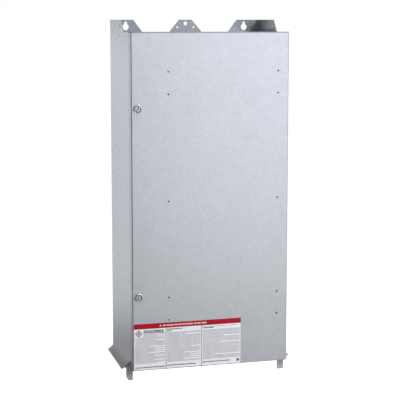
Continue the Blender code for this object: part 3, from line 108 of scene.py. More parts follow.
class SheetSettings(bpy.types.PropertyGroup):
    """Zinc-coated sheet steel."""

    zinc: bpy.props.FloatVectorProperty(
        name="Zinc", description="Main colour of the zinc coat", subtype="COLOR", size=3,
        default=(0.62, 0.645, 0.70), min=0.0, max=1.0,
    )
    spangle: bpy.props.FloatProperty(
        name="Spangle", description="Width of one zinc crystal", unit="LENGTH", default=0.011,
        min=0.001,
    )
    contrast: bpy.props.FloatProperty(
        name="Spangle contrast", description="How much crystals differ in brightness",
        subtype="FACTOR", default=0.05, min=0.0, max=1.0,
    )
    roughness: bpy.props.FloatProperty(
        name="Roughness", description="Roughness of the coat", subtype="FACTOR", default=0.36,
        min=0.0, max=1.0,
    )
    edge: bpy.props.FloatProperty(
        name="Edge rounding", description="Width of the rolled cut edges", unit="LENGTH",
        default=0.00035, min=0.0,
    )


class LabelSettings(bpy.types.PropertyGroup):
    """Printed sheet on the cover. Distances run from its lower left corner."""

    paper: bpy.props.FloatVectorProperty(
        name="Paper", description="Colour of the sheet", subtype="COLOR", size=3,
        default=(0.88, 0.88, 0.92), min=0.0, max=1.0,
    )
    ink: bpy.props.FloatVectorProperty(
        name="Ink", description="Colour of the text bars and rules", subtype="COLOR", size=3,
        default=(0.035, 0.035, 0.045), min=0.0, max=1.0,
    )
    heading: bpy.props.FloatVectorProperty(
        name="Heading band", description="Colour of the band along the top", subtype="COLOR",
        size=3, default=(0.43, 0.004, 0.018), min=0.0, max=1.0,
    )
    band: bpy.props.FloatProperty(
        name="Band height", description="Height of the heading band", unit="LENGTH", default=0.0165,
    )
    first_rule: bpy.props.FloatProperty(
        name="First rule", description="Place of the rule after the first column", unit="LENGTH",
        default=0.1035,
    )
    second_rule: bpy.props.FloatProperty(
        name="Second rule", description="Place of the rule after the second column", unit="LENGTH",
        default=0.2200,
    )
    corner: bpy.props.FloatProperty(
        name="Corner radius", description="Radius of the sheet's corners", unit="LENGTH",
        default=0.0015,
    )


class LatchSettings(bpy.types.PropertyGroup):
    """Quarter-turn latches. Radii run from the latch's axis."""

    groove: bpy.props.FloatProperty(
        name="Groove radius", description="Outer radius of the groove round the plug",
        unit="LENGTH", default=0.0106,
    )
    plug: bpy.props.FloatProperty(
        name="Plug radius", description="Radius of the turning plug", unit="LENGTH", default=0.0086,
    )
    slot: bpy.props.FloatProperty(
        name="Slot width", description="Width of the screwdriver slot", unit="LENGTH", default=0.0024,
    )
    slot_angle: bpy.props.FloatProperty(
        name="Slot angle", description="Lean of the screwdriver slot", subtype="ANGLE",
        default=math.radians(28.0),
    )


class BreakerSettings(bpy.types.PropertyGroup):
    """Breakers, toggles and the deadfront."""

    case: bpy.props.FloatVectorProperty(
        name="Case", description="Colour of the moulded cases", subtype="COLOR", size=3,
        default=(0.022, 0.022, 0.024), min=0.0, max=1.0,
    )
    toggle: bpy.props.FloatVectorProperty(
        name="Toggle", description="Colour of the toggles", subtype="COLOR", size=3,
        default=(0.010, 0.010, 0.011), min=0.0, max=1.0,
    )
    enamel: bpy.props.FloatVectorProperty(
        name="Deadfront", description="Colour of the deadfront's enamel", subtype="COLOR", size=3,
        default=(0.31, 0.33, 0.34), min=0.0, max=1.0,
    )
    insulator: bpy.props.FloatVectorProperty(
        name="Insulator", description="Colour of the bus supports", subtype="COLOR", size=3,
        default=(0.26, 0.035, 0.024), min=0.0, max=1.0,
    )
    trip: bpy.props.FloatVectorProperty(
        name="Trip button", description="Colour of the trip button", subtype="COLOR", size=3,
        default=(0.42, 0.015, 0.012), min=0.0, max=1.0,
    )
    marking: bpy.props.FloatVectorProperty(
        name="Marking", description="Colour of the moulded-in marks", subtype="COLOR", size=3,
        default=(0.72, 0.72, 0.70), min=0.0, max=1.0,
    )


class StageSettings(bpy.types.PropertyGroup):
    """Floor, light and camera."""

    lens: bpy.props.FloatProperty(name="Lens", description="Focal length", default=119.4, min=1.0)
    place: bpy.props.FloatVectorProperty(
        name="Camera place", description="Where the camera stands", subtype="TRANSLATION", size=3,
        default=(-1.2069, -4.2005, 0.5595),
    )
    turn: bpy.props.FloatProperty(
        name="Turn", description="Turn of the view towards the right", subtype="ANGLE",
        default=math.radians(16.66),
    )
    dip: bpy.props.FloatProperty(
        name="Dip", description="Angle of the view below the horizon", subtype="ANGLE",
        default=math.radians(7.72),
    )
    floor: bpy.props.FloatProperty(
        name="Floor", description="Brightness of the pale floor", subtype="FACTOR", default=0.42,
        min=0.0, max=1.0,
    )
    floor_drop: bpy.props.FloatProperty(
        name="Floor drop", description="Gap from the box's feet down to the floor", unit="LENGTH",
        default=0.60,
    )
    room_high: bpy.props.FloatProperty(
        name="Upper room", description="Brightness of the room overhead", default=0.06, min=0.0,
    )
    room_low: bpy.props.FloatProperty(
        name="Lower room", description="Brightness of the room at eye level", default=0.42, min=0.0,
    )
    front_light: bpy.props.FloatProperty(
        name="Front light", description="Brightness of the soft light in front", default=0.98,
        min=0.0,
    )
    back_light: bpy.props.FloatProperty(
        name="Back light", description="Brightness of the soft light behind", default=0.98,
        min=0.0,
    )
    right_light: bpy.props.FloatProperty(
        name="Right light", description="Brightness of the soft lights on the right and at the rear",
        default=0.55, min=0.0,
    )
    key_light: bpy.props.FloatProperty(
        name="Key light", description="Brightness of the high soft light on the right",
        default=23.0, min=0.0,
    )


class PanelBoxSettings(bpy.types.PropertyGroup):
    """All the settings of the panel box."""

    sheet: bpy.props.PointerProperty(type=SheetSettings, name="Sheet", description="Sheet metal")
    label: bpy.props.PointerProperty(type=LabelSettings, name="Label", description="Printed label")
    latch: bpy.props.PointerProperty(type=LatchSettings, name="Latch", description="Latches")
    breaker: bpy.props.PointerProperty(type=BreakerSettings, name="Breaker", description="Breakers")
    stage: bpy.props.PointerProperty(type=StageSettings, name="Stage", description="Stage")


# ---------------------------------------------------------------- finishes


class Finish:
    """A material under construction, with short ways to add and wire its nodes."""

    def __init__(self, name):
        self.material = bpy.data.materials.new(name)
        self.material.use_nodes = True
        self.tree = self.material.node_tree
        self.shader = self.tree.nodes["Principled BSDF"]
        self.place = self.add("ShaderNodeTexCoord").outputs["Object"]

    def add(self, kind, inputs=None, **settings):
        """Adds one node, sets its options and feeds its inputs."""
        made = self.tree.nodes.new(kind)
        for key, value in settings.items():
            setattr(made, key, value)
        for key, value in (inputs or {}).items():
            self.feed(made.inputs[key], value)
        return made

    def feed(self, socket, value):
        """Links a socket to another, or sets its plain value."""
        if isinstance(value, bpy.types.NodeSocket):
            self.tree.links.new(value, socket)
        else:
            socket.default_value = value

    def math(self, operation, *values):
        """One sum on numbers or sockets."""
        made = self.add("ShaderNodeMath", operation=operation)
        for socket, value in zip(made.inputs, values):
            self.feed(socket, value)
        return made.outputs[0]

    def product(self, *values):
        """All the values multiplied together."""
        result = values[0]
        for value in values[1:]:
            result = self.math("MULTIPLY", result, value)
        return result

    def most(self, *values):
        """The largest of the values."""
        result = values[0]
        for value in values[1:]:
            result = self.math("MAXIMUM", result, value)
        return result

    def between(self, value, low, high):
        """1 where the value lies between the limits, else 0."""
        above = self.math("GREATER_THAN", value, low)
        return self.math("MULTIPLY", above, self.math("LESS_THAN", value, high))

    def spread(self, value, low, high, first=0.0, second=1.0):
        """Maps first..second of a value to low..high."""
        inputs = {"From Min": first, "From Max": second, "To Min": low, "To Max": high}
        return self.add("ShaderNodeMapRange", {"Value": value, **inputs}).outputs["Result"]

    def mix(self, share, first, second, blend="MIX"):
        """Mixes two colours."""
        made = self.add("ShaderNodeMix", data_type="RGBA", blend_type=blend)
        for index, value in ((0, share), (6, first), (7, second)):
            self.feed(made.inputs[index], value)
        return made.outputs[2]

    def stretched(self, x, y, z):
        """The object's coordinates, scaled on each axis."""
        inputs = {"Vector": self.place, "Scale": (x, y, z)}
        return self.add("ShaderNodeMapping", inputs).outputs["Vector"]

    def noise(self, scale, detail=3.0, vector=None):
        """Cloudy noise from 0 to 1."""
        inputs = {"Vector": vector or self.place, "Scale": scale, "Detail": detail}
        return self.add("ShaderNodeTexNoise", inputs).outputs["Fac"]

    def random(self, value):
        """An even random number from 0 to 1 for each value."""
        made = self.add("ShaderNodeTexWhiteNoise", {"W": value}, noise_dimensions="1D")
        return made.outputs["Value"]

    def bump(self, height, distance, strength, normal=None):
        """A bumped normal."""
        inputs = {"Height": height, "Distance": distance, "Strength": strength}
        if normal is not None:
            inputs["Normal"] = normal
        return self.add("ShaderNodeBump", inputs).outputs["Normal"]

    def set(self, **inputs):
        """Feeds the shader. An input's spaces are written as underscores."""
        for key, value in inputs.items():
            self.feed(self.shader.inputs[key.replace("_", " ")], value)
        return self.material


def tint(colour, factor=1.0):
    """A colour with its alpha, lighter or darker by a factor."""
    return (colour[0] * factor, colour[1] * factor, colour[2] * factor, 1.0)


def galvanised(name, sheet, tone=1.0, roughness_shift=0.0, lines=()):
    """Zinc coat: crystals, clouding, rolling lines and a fine grain.

    Each line is a band of painted shade along a bend or a seam: its axis, middle, half width and
    depth, and where needed a second axis and the level above which it shows.
    """
    made = Finish(name)
    warp = made.add("ShaderNodeTexNoise", {"Vector": made.place, "Scale": 60.0, "Detail": 2.0})
    drift = made.add(
        "ShaderNodeVectorMath",
        {0: warp.outputs["Color"], 1: (0.010, 0.010, 0.010)},
        operation="MULTIPLY",
    )
    warped = made.add("ShaderNodeVectorMath", {0: made.place, 1: drift.outputs[0]}, operation="ADD")
    warped = warped.outputs[0]
    crystal = made.add("ShaderNodeTexVoronoi", {"Vector": warped, "Scale": 1.0 / sheet.spangle})
    facets = made.add("ShaderNodeSeparateColor", {"Color": crystal.outputs["Color"]})
    small = made.add("ShaderNodeTexVoronoi", {"Vector": warped, "Scale": 2.7 / sheet.spangle})
    flakes = made.add("ShaderNodeSeparateColor", {"Color": small.outputs["Color"]})
    cloud = made.noise(7.0, 4.0)
    rolling = made.noise(1.0, 2.0, made.stretched(900.0, 900.0, 9.0))
    large_part = made.math("MULTIPLY", facets.outputs["Red"], 0.6)
    small_part = made.math("MULTIPLY", flakes.outputs["Red"], 0.4)
    facet = made.math("ADD", large_part, small_part)
    shade = made.spread(facet, 1.0 - sheet.contrast, 1.0 + sheet.contrast)
    shade = made.product(shade, made.spread(cloud, 0.985, 1.015, 0.3, 0.7))
    shade = made.product(shade, made.spread(rolling, 0.985, 1.015, 0.3, 0.7))
    spot = made.add("ShaderNodeSeparateXYZ", {"Vector": made.place})
    # Painted shade: darken the colour in a band along each given line.
    for axis, middle, half, depth, *above in lines:
        away = made.math("ABSOLUTE", made.math("SUBTRACT", spot.outputs[axis], middle))
        painted_shade = made.spread(away, depth, 0.0, 0.3 * half, half)
        if above:
            painted_shade = made.product(painted_shade, made.math("GREATER_THAN", spot.outputs[above[0]], above[1]))
        shade = made.product(shade, made.math("SUBTRACT", 1.0, painted_shade))
    # Painted reflection: the zinc's tint runs cooler towards the top and warmer towards the bottom, set by height
    # with a little noise.
    cool = tint(sheet.zinc, tone)
    warm = tint((sheet.zinc[0] * 1.015, sheet.zinc[1] * 1.003, sheet.zinc[2] * 0.965), tone)
    height = made.math("ADD", spot.outputs["Z"], made.math("MULTIPLY", made.noise(4.0, 2.0), 0.2))
    body = made.mix(made.spread(height, 1.0, 0.0, -0.15, 0.35), cool, warm)
    grey = made.add("ShaderNodeCombineColor", {"Red": shade, "Green": shade, "Blue": shade})
    colour = made.mix(1.0, body, grey.outputs["Color"], "MULTIPLY")
    smear = made.spread(made.noise(16.0, 5.0), -0.008, 0.012, 0.4, 0.7)
    rough = made.math("ADD", made.spread(facets.outputs["Green"], -0.02, 0.02), smear)
    rough = made.math("ADD", rough, sheet.roughness + roughness_shift)
    grain = made.noise(1400.0, 2.0)
    normal = made.bump(grain, 0.00002, 0.35)
    normal = made.bump(facet, 0.00001, 0.2, normal)
    return made.set(Base_Color=colour, Metallic=0.97, Roughness=rough, Normal=normal)


def plated(name, colour, roughness, wear=0.08):
    """Bright plating or bare soft metal, with fine turning marks and dull patches."""
    made = Finish(name)
    patch = made.noise(220.0, 4.0)
    fine = made.noise(2600.0, 2.0)
    body = made.mix(made.spread(patch, 0.0, 1.0, 0.35, 0.7), tint(colour, 1.06), tint(colour, 0.80))
    rough = made.math("ADD", made.spread(patch, -wear, wear, 0.3, 0.7), roughness)
    return made.set(
        Base_Color=body, Metallic=0.92, Roughness=rough, Normal=made.bump(fine, 0.00003, 0.35)
    )


def moulded(name, colour, roughness, grain=1800.0):
    """Moulded plastic with a fine spark-eroded grain and a little dust."""
    made = Finish(name)
    dust = made.noise(36.0, 5.0)
    body = made.mix(made.spread(dust, 0.0, 1.0, 0.45, 0.8), tint(colour), tint(colour, 1.7))
    rough = made.math("ADD", made.spread(dust, -0.05, 0.10, 0.35, 0.75), roughness)
    return made.set(
        Base_Color=body, Roughness=rough, Normal=made.bump(made.noise(grain, 2.0), 0.00004, 0.45)
    )


def enamelled(name, colour, roughness):
    """Baked enamel with a slight orange peel."""
    made = Finish(name)
    peel = made.noise(420.0, 2.0)
    cloud = made.noise(9.0, 3.0)
    body = made.mix(made.spread(cloud, 0.0, 1.0, 0.35, 0.7), tint(colour, 0.96), tint(colour, 1.05))
    rough = made.math("ADD", made.spread(cloud, -0.03, 0.04, 0.3, 0.7), roughness)
    return made.set(Base_Color=body, Roughness=rough, Normal=made.bump(peel, 0.00006, 0.30))


def text_rows(made, x, z, block, pitch, seed, bold=False):
    """Ink of one block of greeked text rows, on left, right, low and high limits in metres."""
    left, right, low, high = block
    inside = made.product(made.between(x, left, right), made.between(z, low, high))
    level = made.math("DIVIDE", made.math("SUBTRACT", z, low), pitch)
    row = made.math("FLOOR", level)
    stroke = made.between(made.math("FRACT", level), 0.12 if bold else 0.29, 0.90 if bold else 0.66)
    chance = made.random(made.math("ADD", row, seed))
    length = made.random(made.math("ADD", row, seed + 0.37))
    short = made.math("GREATER_THAN", chance, 0.66)
    full = right - left
    spare = made.product(short, made.spread(length, 0.25 * full, 0.68 * full))
    end = made.math("SUBTRACT", right, spare)
    word_size = pitch * (2.1 if bold else 1.5)
    shifted = made.math("ADD", x, made.math("MULTIPLY", chance, 0.037))
    letters = made.math("DIVIDE", shifted, word_size)
    word = made.math("FLOOR", letters)
    spot = made.add("ShaderNodeCombineXYZ", {"X": word, "Y": row, "Z": seed})
    kept = made.add("ShaderNodeTexWhiteNoise", {"Vector": spot.outputs[0]}, noise_dimensions="3D")
    space = made.spread(kept.outputs["Value"], 0.02, 0.24)
    worded = made.math("GREATER_THAN", made.math("FRACT", letters), space)
    return made.product(inside, stroke, made.math("LESS_THAN", x, end), worded)


def printed_sheet(label, size):
    """The label's print: a heading band, rules, greeked text and plain generic marks."""
    made = Finish("label_print")
    width, height = size
    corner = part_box("cover_label")[0]
    spot = made.add("ShaderNodeSeparateXYZ", {"Vector": made.place})
    x = made.math("SUBTRACT", spot.outputs["X"], corner.x)
    z = made.math("SUBTRACT", spot.outputs["Z"], corner.z)
    first, second = label.first_rule, label.second_rule
    under = height - label.band
    gap = 0.0035
    thin = 0.0033
    blocks = (
        ((gap, first - gap, 0.020, under - 0.026), thin, 3.0, False),
        ((0.031, first - gap, under - 0.026, under - 0.014), thin, 5.0, False),
        ((0.031, first - gap - 0.004, under - 0.0135, under - 0.0035), 0.0044, 7.0, True),
        ((first + gap, second - gap, 0.020, under - 0.014), thin, 11.0, False),
        ((first + gap, first + 0.034, under - 0.0125, under - 0.0085), 0.0040, 13.0, True),
        ((first + gap, second - gap, under - 0.0070, under - 0.0030), 0.0040, 17.0, True),
        ((second + gap, width - gap, 0.020, under - 0.014), thin, 21.0, False),
        ((second + gap, second + 0.040, under - 0.0105, under - 0.0065), 0.0040, 23.0, True),
        ((second + gap, width - 0.010, under - 0.0060, under - 0.0030), 0.0030, 29.0, False),
        ((gap, first - gap, 0.0055, 0.0095), 0.0040, 31.0, True),
        ((first + gap, second - 0.020, 0.0075, 0.0115), 0.0040, 33.0, True),
        ((second + gap, width - 0.036, 0.0095, 0.0135), 0.0040, 41.0, True),
    )
    ink = made.most(*(text_rows(made, x, z, *block) for block in blocks))
    rule = 0.0009
    in_body = made.between(z, 0.0, under)
    rules = made.most(
        made.product(made.between(x, first - rule, first + rule), in_body),
        made.product(made.between(x, second - rule, second + rule), in_body),
    )
    seal = made.product(made.between(x, width - 0.014, width - 0.006), made.between(z, 0.007, 0.015))
    across = made.math("ABSOLUTE", made.math("SUBTRACT", x, 0.016))
    upright = made.math("ABSOLUTE", made.math("SUBTRACT", z, under - 0.014))
    reach = made.math("ADD", across, upright)
    diamond = made.most(made.between(reach, 0.0076, 0.0116), made.between(reach, -1.0, 0.0044))
    dark = made.most(ink, rules, seal, diamond)
    wash = made.spread(made.noise(50.0, 3.0), 0.97, 1.02, 0.35, 0.65)
    body = made.mix(made.math("MULTIPLY", dark, 0.92), tint(label.paper), tint(label.ink))
    drift = made.spread(made.noise(30.0, 3.0), 0.0, 1.0)
    red = made.mix(drift, tint(label.heading, 0.92), tint(label.heading, 1.10))
    title_foot = under + 0.0052
    title_block = (0.093, 0.236, title_foot, title_foot + 0.0060)
    title = text_rows(made, x, z, title_block, 0.0060, 44.0, True)
    in_title = made.between(z, title_foot, title_foot + 0.0053)
    mark = made.product(made.between(x, 0.0835, 0.0885), in_title)
    light = made.mix(made.math("MULTIPLY", made.most(title, mark), 0.60), red, tint(label.paper))
    printed = made.mix(made.math("GREATER_THAN", z, under), body, light)
    rim = 0.0006
    inner = made.product(made.between(x, rim, width - rim), made.between(z, rim, height - rim))
    edged = made.mix(inner, tint(label.ink, 2.4), printed)
    soft = made.add("ShaderNodeCombineColor", {"Red": wash, "Green": wash, "Blue": wash})
    colour = made.mix(1.0, edged, soft.outputs["Color"], "MULTIPLY")
    rough = made.spread(made.noise(90.0, 4.0), 0.34, 0.48, 0.3, 0.7)
    made.feed(made.shader.inputs["Specular IOR Level"], 0.2)
    return made.set(
        Base_Color=colour, Roughness=rough, Normal=made.bump(made.noise(300.0, 2.0), 0.00003, 0.25)
    )


# ---------------------------------------------------------------- mesh making


def settings():
    """The panel box's settings on this scene."""
    return bpy.context.scene.panel_box


def centre_of(node):
    """Middle of a CAD node's box."""
    low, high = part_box(node)
    return (low + high) / 2


def as_object(name, shape, *finishes):
    """Links a finished bmesh as an object whose origin stays at the frame's origin."""
    mesh = bpy.data.meshes.new(name)
    bmesh.ops.recalc_face_normals(shape, faces=shape.faces)
    shape.to_mesh(mesh)
    shape.free()
    for finish in finishes:
        mesh.materials.append(finish)
    made = bpy.data.objects.new(name, mesh)
    bpy.context.scene.collection.objects.link(made)
    return made


def settle(piece, edge=0.0, segments=2, angle=38.0):
    """Rounds a piece's sharp edges, evens its shading and keeps the result as a plain mesh."""
    if edge > 0.0:
        rounding = piece.modifiers.new("Edges", "BEVEL")
        rounding.width = edge
        rounding.segments = segments
        rounding.limit_method = "ANGLE"
        rounding.angle_limit = math.radians(angle)
        rounding.use_clamp_overlap = True
    piece.data.shade_smooth()
    piece.data.set_sharp_from_angle(angle=math.radians(62.0))
    shading = piece.modifiers.new("Shading", "WEIGHTED_NORMAL")
    shading.keep_sharp = True
    shading.weight = 90
    graph = bpy.context.evaluated_depsgraph_get()
    final = bpy.data.meshes.new_from_object(piece.evaluated_get(graph))
    final.name = piece.name
    piece.modifiers.clear()
    piece.data = final
    return piece


def carve(piece, shape, operation="DIFFERENCE"):
    """Applies one Boolean with a bmesh tool."""
    tool = as_object("tool", shape)
    step = piece.modifiers.new("Cut", "BOOLEAN")
    step.operation = operation
    step.solver = "EXACT"
    step.object = tool
    graph = bpy.context.evaluated_depsgraph_get()
    final = bpy.data.meshes.new_from_object(piece.evaluated_get(graph))
    piece.modifiers.clear()
    piece.data = final
    bpy.data.objects.remove(tool, do_unlink=True)
    return piece


def body_of(node):
    """Name of the CAD body that a node rides on."""
    for body, members in frame["record"]["behaviour"]["bodies"].items():
        if node in members:
            return body
    raise ValueError("no body holds " + node)


def stands_for(piece, *nodes):
    """Puts a finished piece on the body of the CAD nodes it replaces, and hides those nodes."""
    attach(piece, body_of(nodes[0]))
    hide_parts(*nodes)
    return piece


def joins(piece, body):
    """Puts an added piece on a body."""
    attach(piece, body)
    return piece


def refined(node, finish, edge, segments=2, hole_shadow_paint=None):
    """A welded copy of a CAD node's mesh with rounded edges, which stands for that node.

    A second finish, where given, goes on the walls of its small punched holes as painted shadow.
    """
    shape = bmesh.new()
    shape.from_mesh(frame["nodes"][node].data)
    bmesh.ops.remove_doubles(shape, verts=shape.verts, dist=WELD)
    bmesh.ops.dissolve_limit(
        shape, angle_limit=math.radians(0.5), verts=list(shape.verts), edges=list(shape.edges)
    )
    made = as_object("fine_" + node, shape, finish)
    if hole_shadow_paint:
        made.data.materials.append(hole_shadow_paint)
        for polygon in made.data.polygons:
            if polygon.area < SMALL_HOLE_FACE:
                polygon.material_index = 1
    settle(made, edge, segments)
    return stands_for(made, node)


def ring_points(radius, steps):
    """Unit directions round a circle, scaled to a radius."""
    turn = math.tau / steps
    return [(radius * math.cos(turn * k), radius * math.sin(turn * k)) for k in range(steps)]


def turned(shape, profile, centre, steps=ROUND_STEPS, along=1):
    """Adds a turned solid. The profile lists (radius, level) pairs and closes on itself.

    The axis runs along Y (1) or Z (2) through the centre, and levels are places on it.
    """
    rings = []
    for radius, level in profile:
        spots = []
        for a, b in ring_points(radius, steps):
            if along == 1:
                spots.append((centre.x + a, level, centre.z + b))
            else:
                spots.append((centre.x + a, centre.y + b, level))
        if radius < WELD:
            rings.append([shape.verts.new(spots[0])] * steps)
        else:
            rings.append([shape.verts.new(spot) for spot in spots])
    for lower, upper in zip(rings, rings[1:] + rings[:1]):
        for k in range(steps):
            following = (k + 1) % steps
            corners = []
            for vertex in (lower[k], lower[following], upper[following], upper[k]):
                if vertex not in corners:
                    corners.append(vertex)
            if len(corners) > 2:
                shape.faces.new(corners)
    return shape


def slab(shape, low, high, slot=0):
    """Adds a rectangular block between two corners, in one material slot."""
    low, high = Vector(low), Vector(high)
    place = Matrix.Translation((low + high) / 2) @ Matrix.Diagonal((*(high - low), 1.0))
    made = bmesh.ops.create_cube(shape, size=1.0, matrix=place)
    for face in {face for vertex in made["verts"] for face in vertex.link_faces}:
        face.material_index = slot
    return made["verts"]


def border(shape, low, high, rim, slot=0):
    """Adds a rectangular frame, whose opening leaves a rim's width on each side, across Y."""
    x0, y0, z0 = low
    x1, y1, z1 = high
    outer = [(x0, z0), (x1, z0), (x1, z1), (x0, z1)]
    inner = [(x0 + rim, z0 + rim), (x1 - rim, z0 + rim), (x1 - rim, z1 - rim), (x0 + rim, z1 - rim)]
    loops = []
    for outline in (outer, inner):
        for y in (y0, y1):
            loops.append([shape.verts.new((x, y, z)) for x, z in outline])
    front_out, back_out, front_in, back_in = loops
    for k in range(4):
        n = (k + 1) % 4
        for quad in (
            (front_out[k], front_out[n], front_in[n], front_in[k]),
            (back_out[n], back_out[k], back_in[k], back_in[n]),
            (front_out[n], front_out[k], back_out[k], back_out[n]),
            (front_in[k], front_in[n], back_in[n], back_in[k]),
        ):
            shape.faces.new(quad).material_index = slot


def rounded_plate(shape, low, high, radius, steps=6, slot=0):
    """Adds a thin plate across Y with rounded corners."""
    centres = (
        (high[0] - radius, high[2] - radius, 0.0),
        (low[0] + radius, high[2] - radius, 0.25),
        (low[0] + radius, low[2] + radius, 0.5),
        (high[0] - radius, low[2] + radius, 0.75),
    )
    outline = []
    for x, z, start in centres:
        for k in range(steps + 1):
            angle = math.tau * (start + 0.25 * k / steps)
            outline.append((x + radius * math.cos(angle), z + radius * math.sin(angle)))
    front = [shape.verts.new((x, low[1], z)) for x, z in outline]
    back = [shape.verts.new((x, high[1], z)) for x, z in outline]
    faces = [shape.faces.new(front), shape.faces.new(list(reversed(back)))]
    for k in range(len(outline)):
        n = (k + 1) % len(outline)
        faces.append(shape.faces.new((front[n], front[k], back[k], back[n])))
    for face in faces:
        face.material_index = slot


# ---------------------------------------------------------------- the pieces


class PANELBOX_OT_enclosure(bpy.types.Operator):
    """Finishes the box's walls, rails and strike in zinc-coated sheet"""

    bl_idname = "panelbox.enclosure"
    bl_label = "Enclosure"

    def execute(self, context):
        sheet = settings().sheet
        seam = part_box("front_cover")[1].y
        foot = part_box("bottom_wall")[0].z
        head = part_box("top_wall")[1].z
        # Painted shade on the walls: a dark band just behind the cover's back edge, a darker band on the back
        # sheet above the top wall, and darkening towards the foot.
        painted_shade = (
            ("Y", seam + 0.0006, 0.0032, 0.34),
            ("Y", -0.0008, 0.0040, 0.52, "Z", head),
            ("Z", foot - 0.007, 0.036, 0.50),
        )
        walls = galvanised("wall_zinc_painted_shade", sheet, 0.95, lines=painted_shade)
        inner = galvanised("inner_zinc", sheet, 0.92, 0.03)
        # Near-black painted shadow for the walls of the small punched holes.
        dark = plated("hole_shadow", (0.05, 0.05, 0.055), 0.65)
        refined("enclosure_wrapper", walls, sheet.edge, hole_shadow_paint=dark)
        for node in ("top_wall", "bottom_wall"):
            refined(node, walls, sheet.edge)
        for node in ("latch_strike_rail", "deadfront_rail_left", "deadfront_rail_right"):
            refined(node, inner, sheet.edge)
        return {"FINISHED"}


class PANELBOX_OT_cover(bpy.types.Operator):
    """Finishes the pan cover and its two stiffeners"""

    bl_idname = "panelbox.cover"
    bl_label = "Cover"

    def execute(self, context):
        sheet = settings().sheet
        low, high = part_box("front_cover")
        # The stiffeners' zinc is darkened to 0.22 of its tone as painted shade behind the cover.
        stiffener_painted_shade = galvanised("stiffener_zinc_painted_shade", sheet, 0.22)
        # Painted shade along the cover's left, right, top and bottom bends and along the back edge of its flanges.
        painted_bend_shade = (
            ("X", low.x, 0.0026, 0.22), ("X", high.x, 0.0030, 0.25),
            ("Z", high.z, 0.0050, 0.50), ("Z", low.z, 0.0030, 0.35), ("Y", high.y, 0.0020, 0.30),
        )
        # Near-black painted shadow for the walls of the cover's small punched holes.
        dark = plated("cover_hole_shadow", (0.05, 0.05, 0.055), 0.65)
        refined("front_cover", galvanised("cover_zinc_painted_shade", sheet, lines=painted_bend_shade), sheet.edge, hole_shadow_paint=dark)
        for node in ("cover_stiffener_left", "cover_stiffener_right"):
            refined(node, stiffener_painted_shade, sheet.edge)
        return {"FINISHED"}


class PANELBOX_OT_label(bpy.types.Operator):
    """Builds the printed sheet on the lower left of the cover"""

    bl_idname = "panelbox.label"
    bl_label = "Label"

    def execute(self, context):
        label = settings().label
        low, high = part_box("cover_label")
        shape = bmesh.new()
        rounded_plate(shape, low, high, label.corner)
        size = (high.x - low.x, high.z - low.z)
        made = as_object("printed_label", shape, printed_sheet(label, size))
        settle(made, 0.00006)
        stands_for(made, "cover_label")
        return {"FINISHED"}


class PANELBOX_OT_latches(bpy.types.Operator):
    """Builds both quarter-turn latches: housing, plug, pawl and nut"""

    bl_idname = "panelbox.latches"
    bl_label = "Latches"

    def housing(self, name, latch, finishes):
        """Rolled rim, groove, plug pocket and barrel, as one turned solid."""
        node = name + "_latch_bezel"
        low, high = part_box(node)
        centre = centre_of(node)
        radius = (high.x - low.x) / 2
        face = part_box("front_cover")[0].y
        front = low.y
        seat = face - 0.0003
        groove = latch.groove
        barrel = 0.0088
        pocket = 0.0074
        bore = 0.0049
        floor = face + 0.0034
        profile = [
            (bore, high.y), (barrel - 0.0004, high.y), (barrel, high.y - 0.0004),
            (barrel, seat), (radius, seat), (radius, seat - 0.0007), (radius - 0.0004, front + 0.0006),
            (radius - 0.0011, front + 0.0001), (radius - 0.0017, front), (groove + 0.0009, front),
            (groove + 0.0003, front + 0.0003), (groove, front + 0.0008), (groove, front + 0.0017),
            (pocket, front + 0.0017), (pocket, floor), (bore, floor),
        ]
        shape = turned(bmesh.new(), profile, centre)
        made = as_object(name + "_latch_housing", shape, *finishes)
        # Faces inside the groove take the second finish, painted shade.
        for polygon in made.data.polygons:
            reach = Vector((polygon.center.x - centre.x, polygon.center.z - centre.z)).length
            if reach < groove + 0.0006 and polygon.center.y > front + 0.0004:
                polygon.material_index = 1
        settle(made)
        stands_for(made, node)

    def plug(self, name, latch, finishes):
        """Slotted plug with its shaft."""
        node = name + "_latch_rotor"
        low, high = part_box(node)
        centre = centre_of(node)
        front = low.y
        head = latch.plug
        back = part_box("front_cover")[0].y + 0.0031
        neck = front + 0.0007
        profile = [
            (0.0, front), (head - 0.0006, front), (head - 0.0001, front + 0.0002), (head, neck),
            (0.0069, neck), (0.0069, back), (0.0045, back),
            (0.0045, high.y - 0.0005), (0.0040, high.y), (0.0, high.y),
        ]
        shape = turned(bmesh.new(), profile, centre)
        made = as_object(name + "_latch_plug", shape, *finishes)
        cutter = bmesh.new()
        half = latch.slot / 2
        wide = head + 0.001
        deep = front + 0.0016
        corners = slab(cutter, (-half, front - 0.001, -wide), (half, deep, wide))
        turn = Matrix.Rotation(latch.slot_angle, 4, "Y")
        place = Matrix.Translation((centre.x, 0.0, centre.z)) @ turn
        bmesh.ops.transform(cutter, matrix=place, verts=corners)
        carve(made, cutter)
        # Faces inside the screwdriver slot take the second finish, painted shade.
        for polygon in made.data.polygons:
            spot = place.inverted() @ polygon.center
            inside = abs(spot.x) < half + 0.0001 and spot.y < deep + 0.0002
            if inside and spot.y > front + 0.0001:
                polygon.material_index = 1
        settle(made, 0.00012)
        stands_for(made, node)

    def execute(self, context):
        latch = settings().latch
        zinc = plated("latch_zinc", (0.58, 0.59, 0.62), 0.50)
        # Painted shade for the groove round the plug and for the plug's slot.
        shadow = plated("latch_groove_painted_shade", (0.24, 0.24, 0.26), 0.60)
        pawl = plated("pawl_zinc", (0.60, 0.61, 0.63), 0.40)
        for name in ("upper", "lower"):
            self.housing(name, latch, (zinc, shadow))
            self.plug(name, latch, (zinc, shadow))
            refined(name + "_latch_pawl", pawl, 0.0003)
            refined(name + "_latch_nut", pawl, 0.0005, 3)
        return {"FINISHED"}


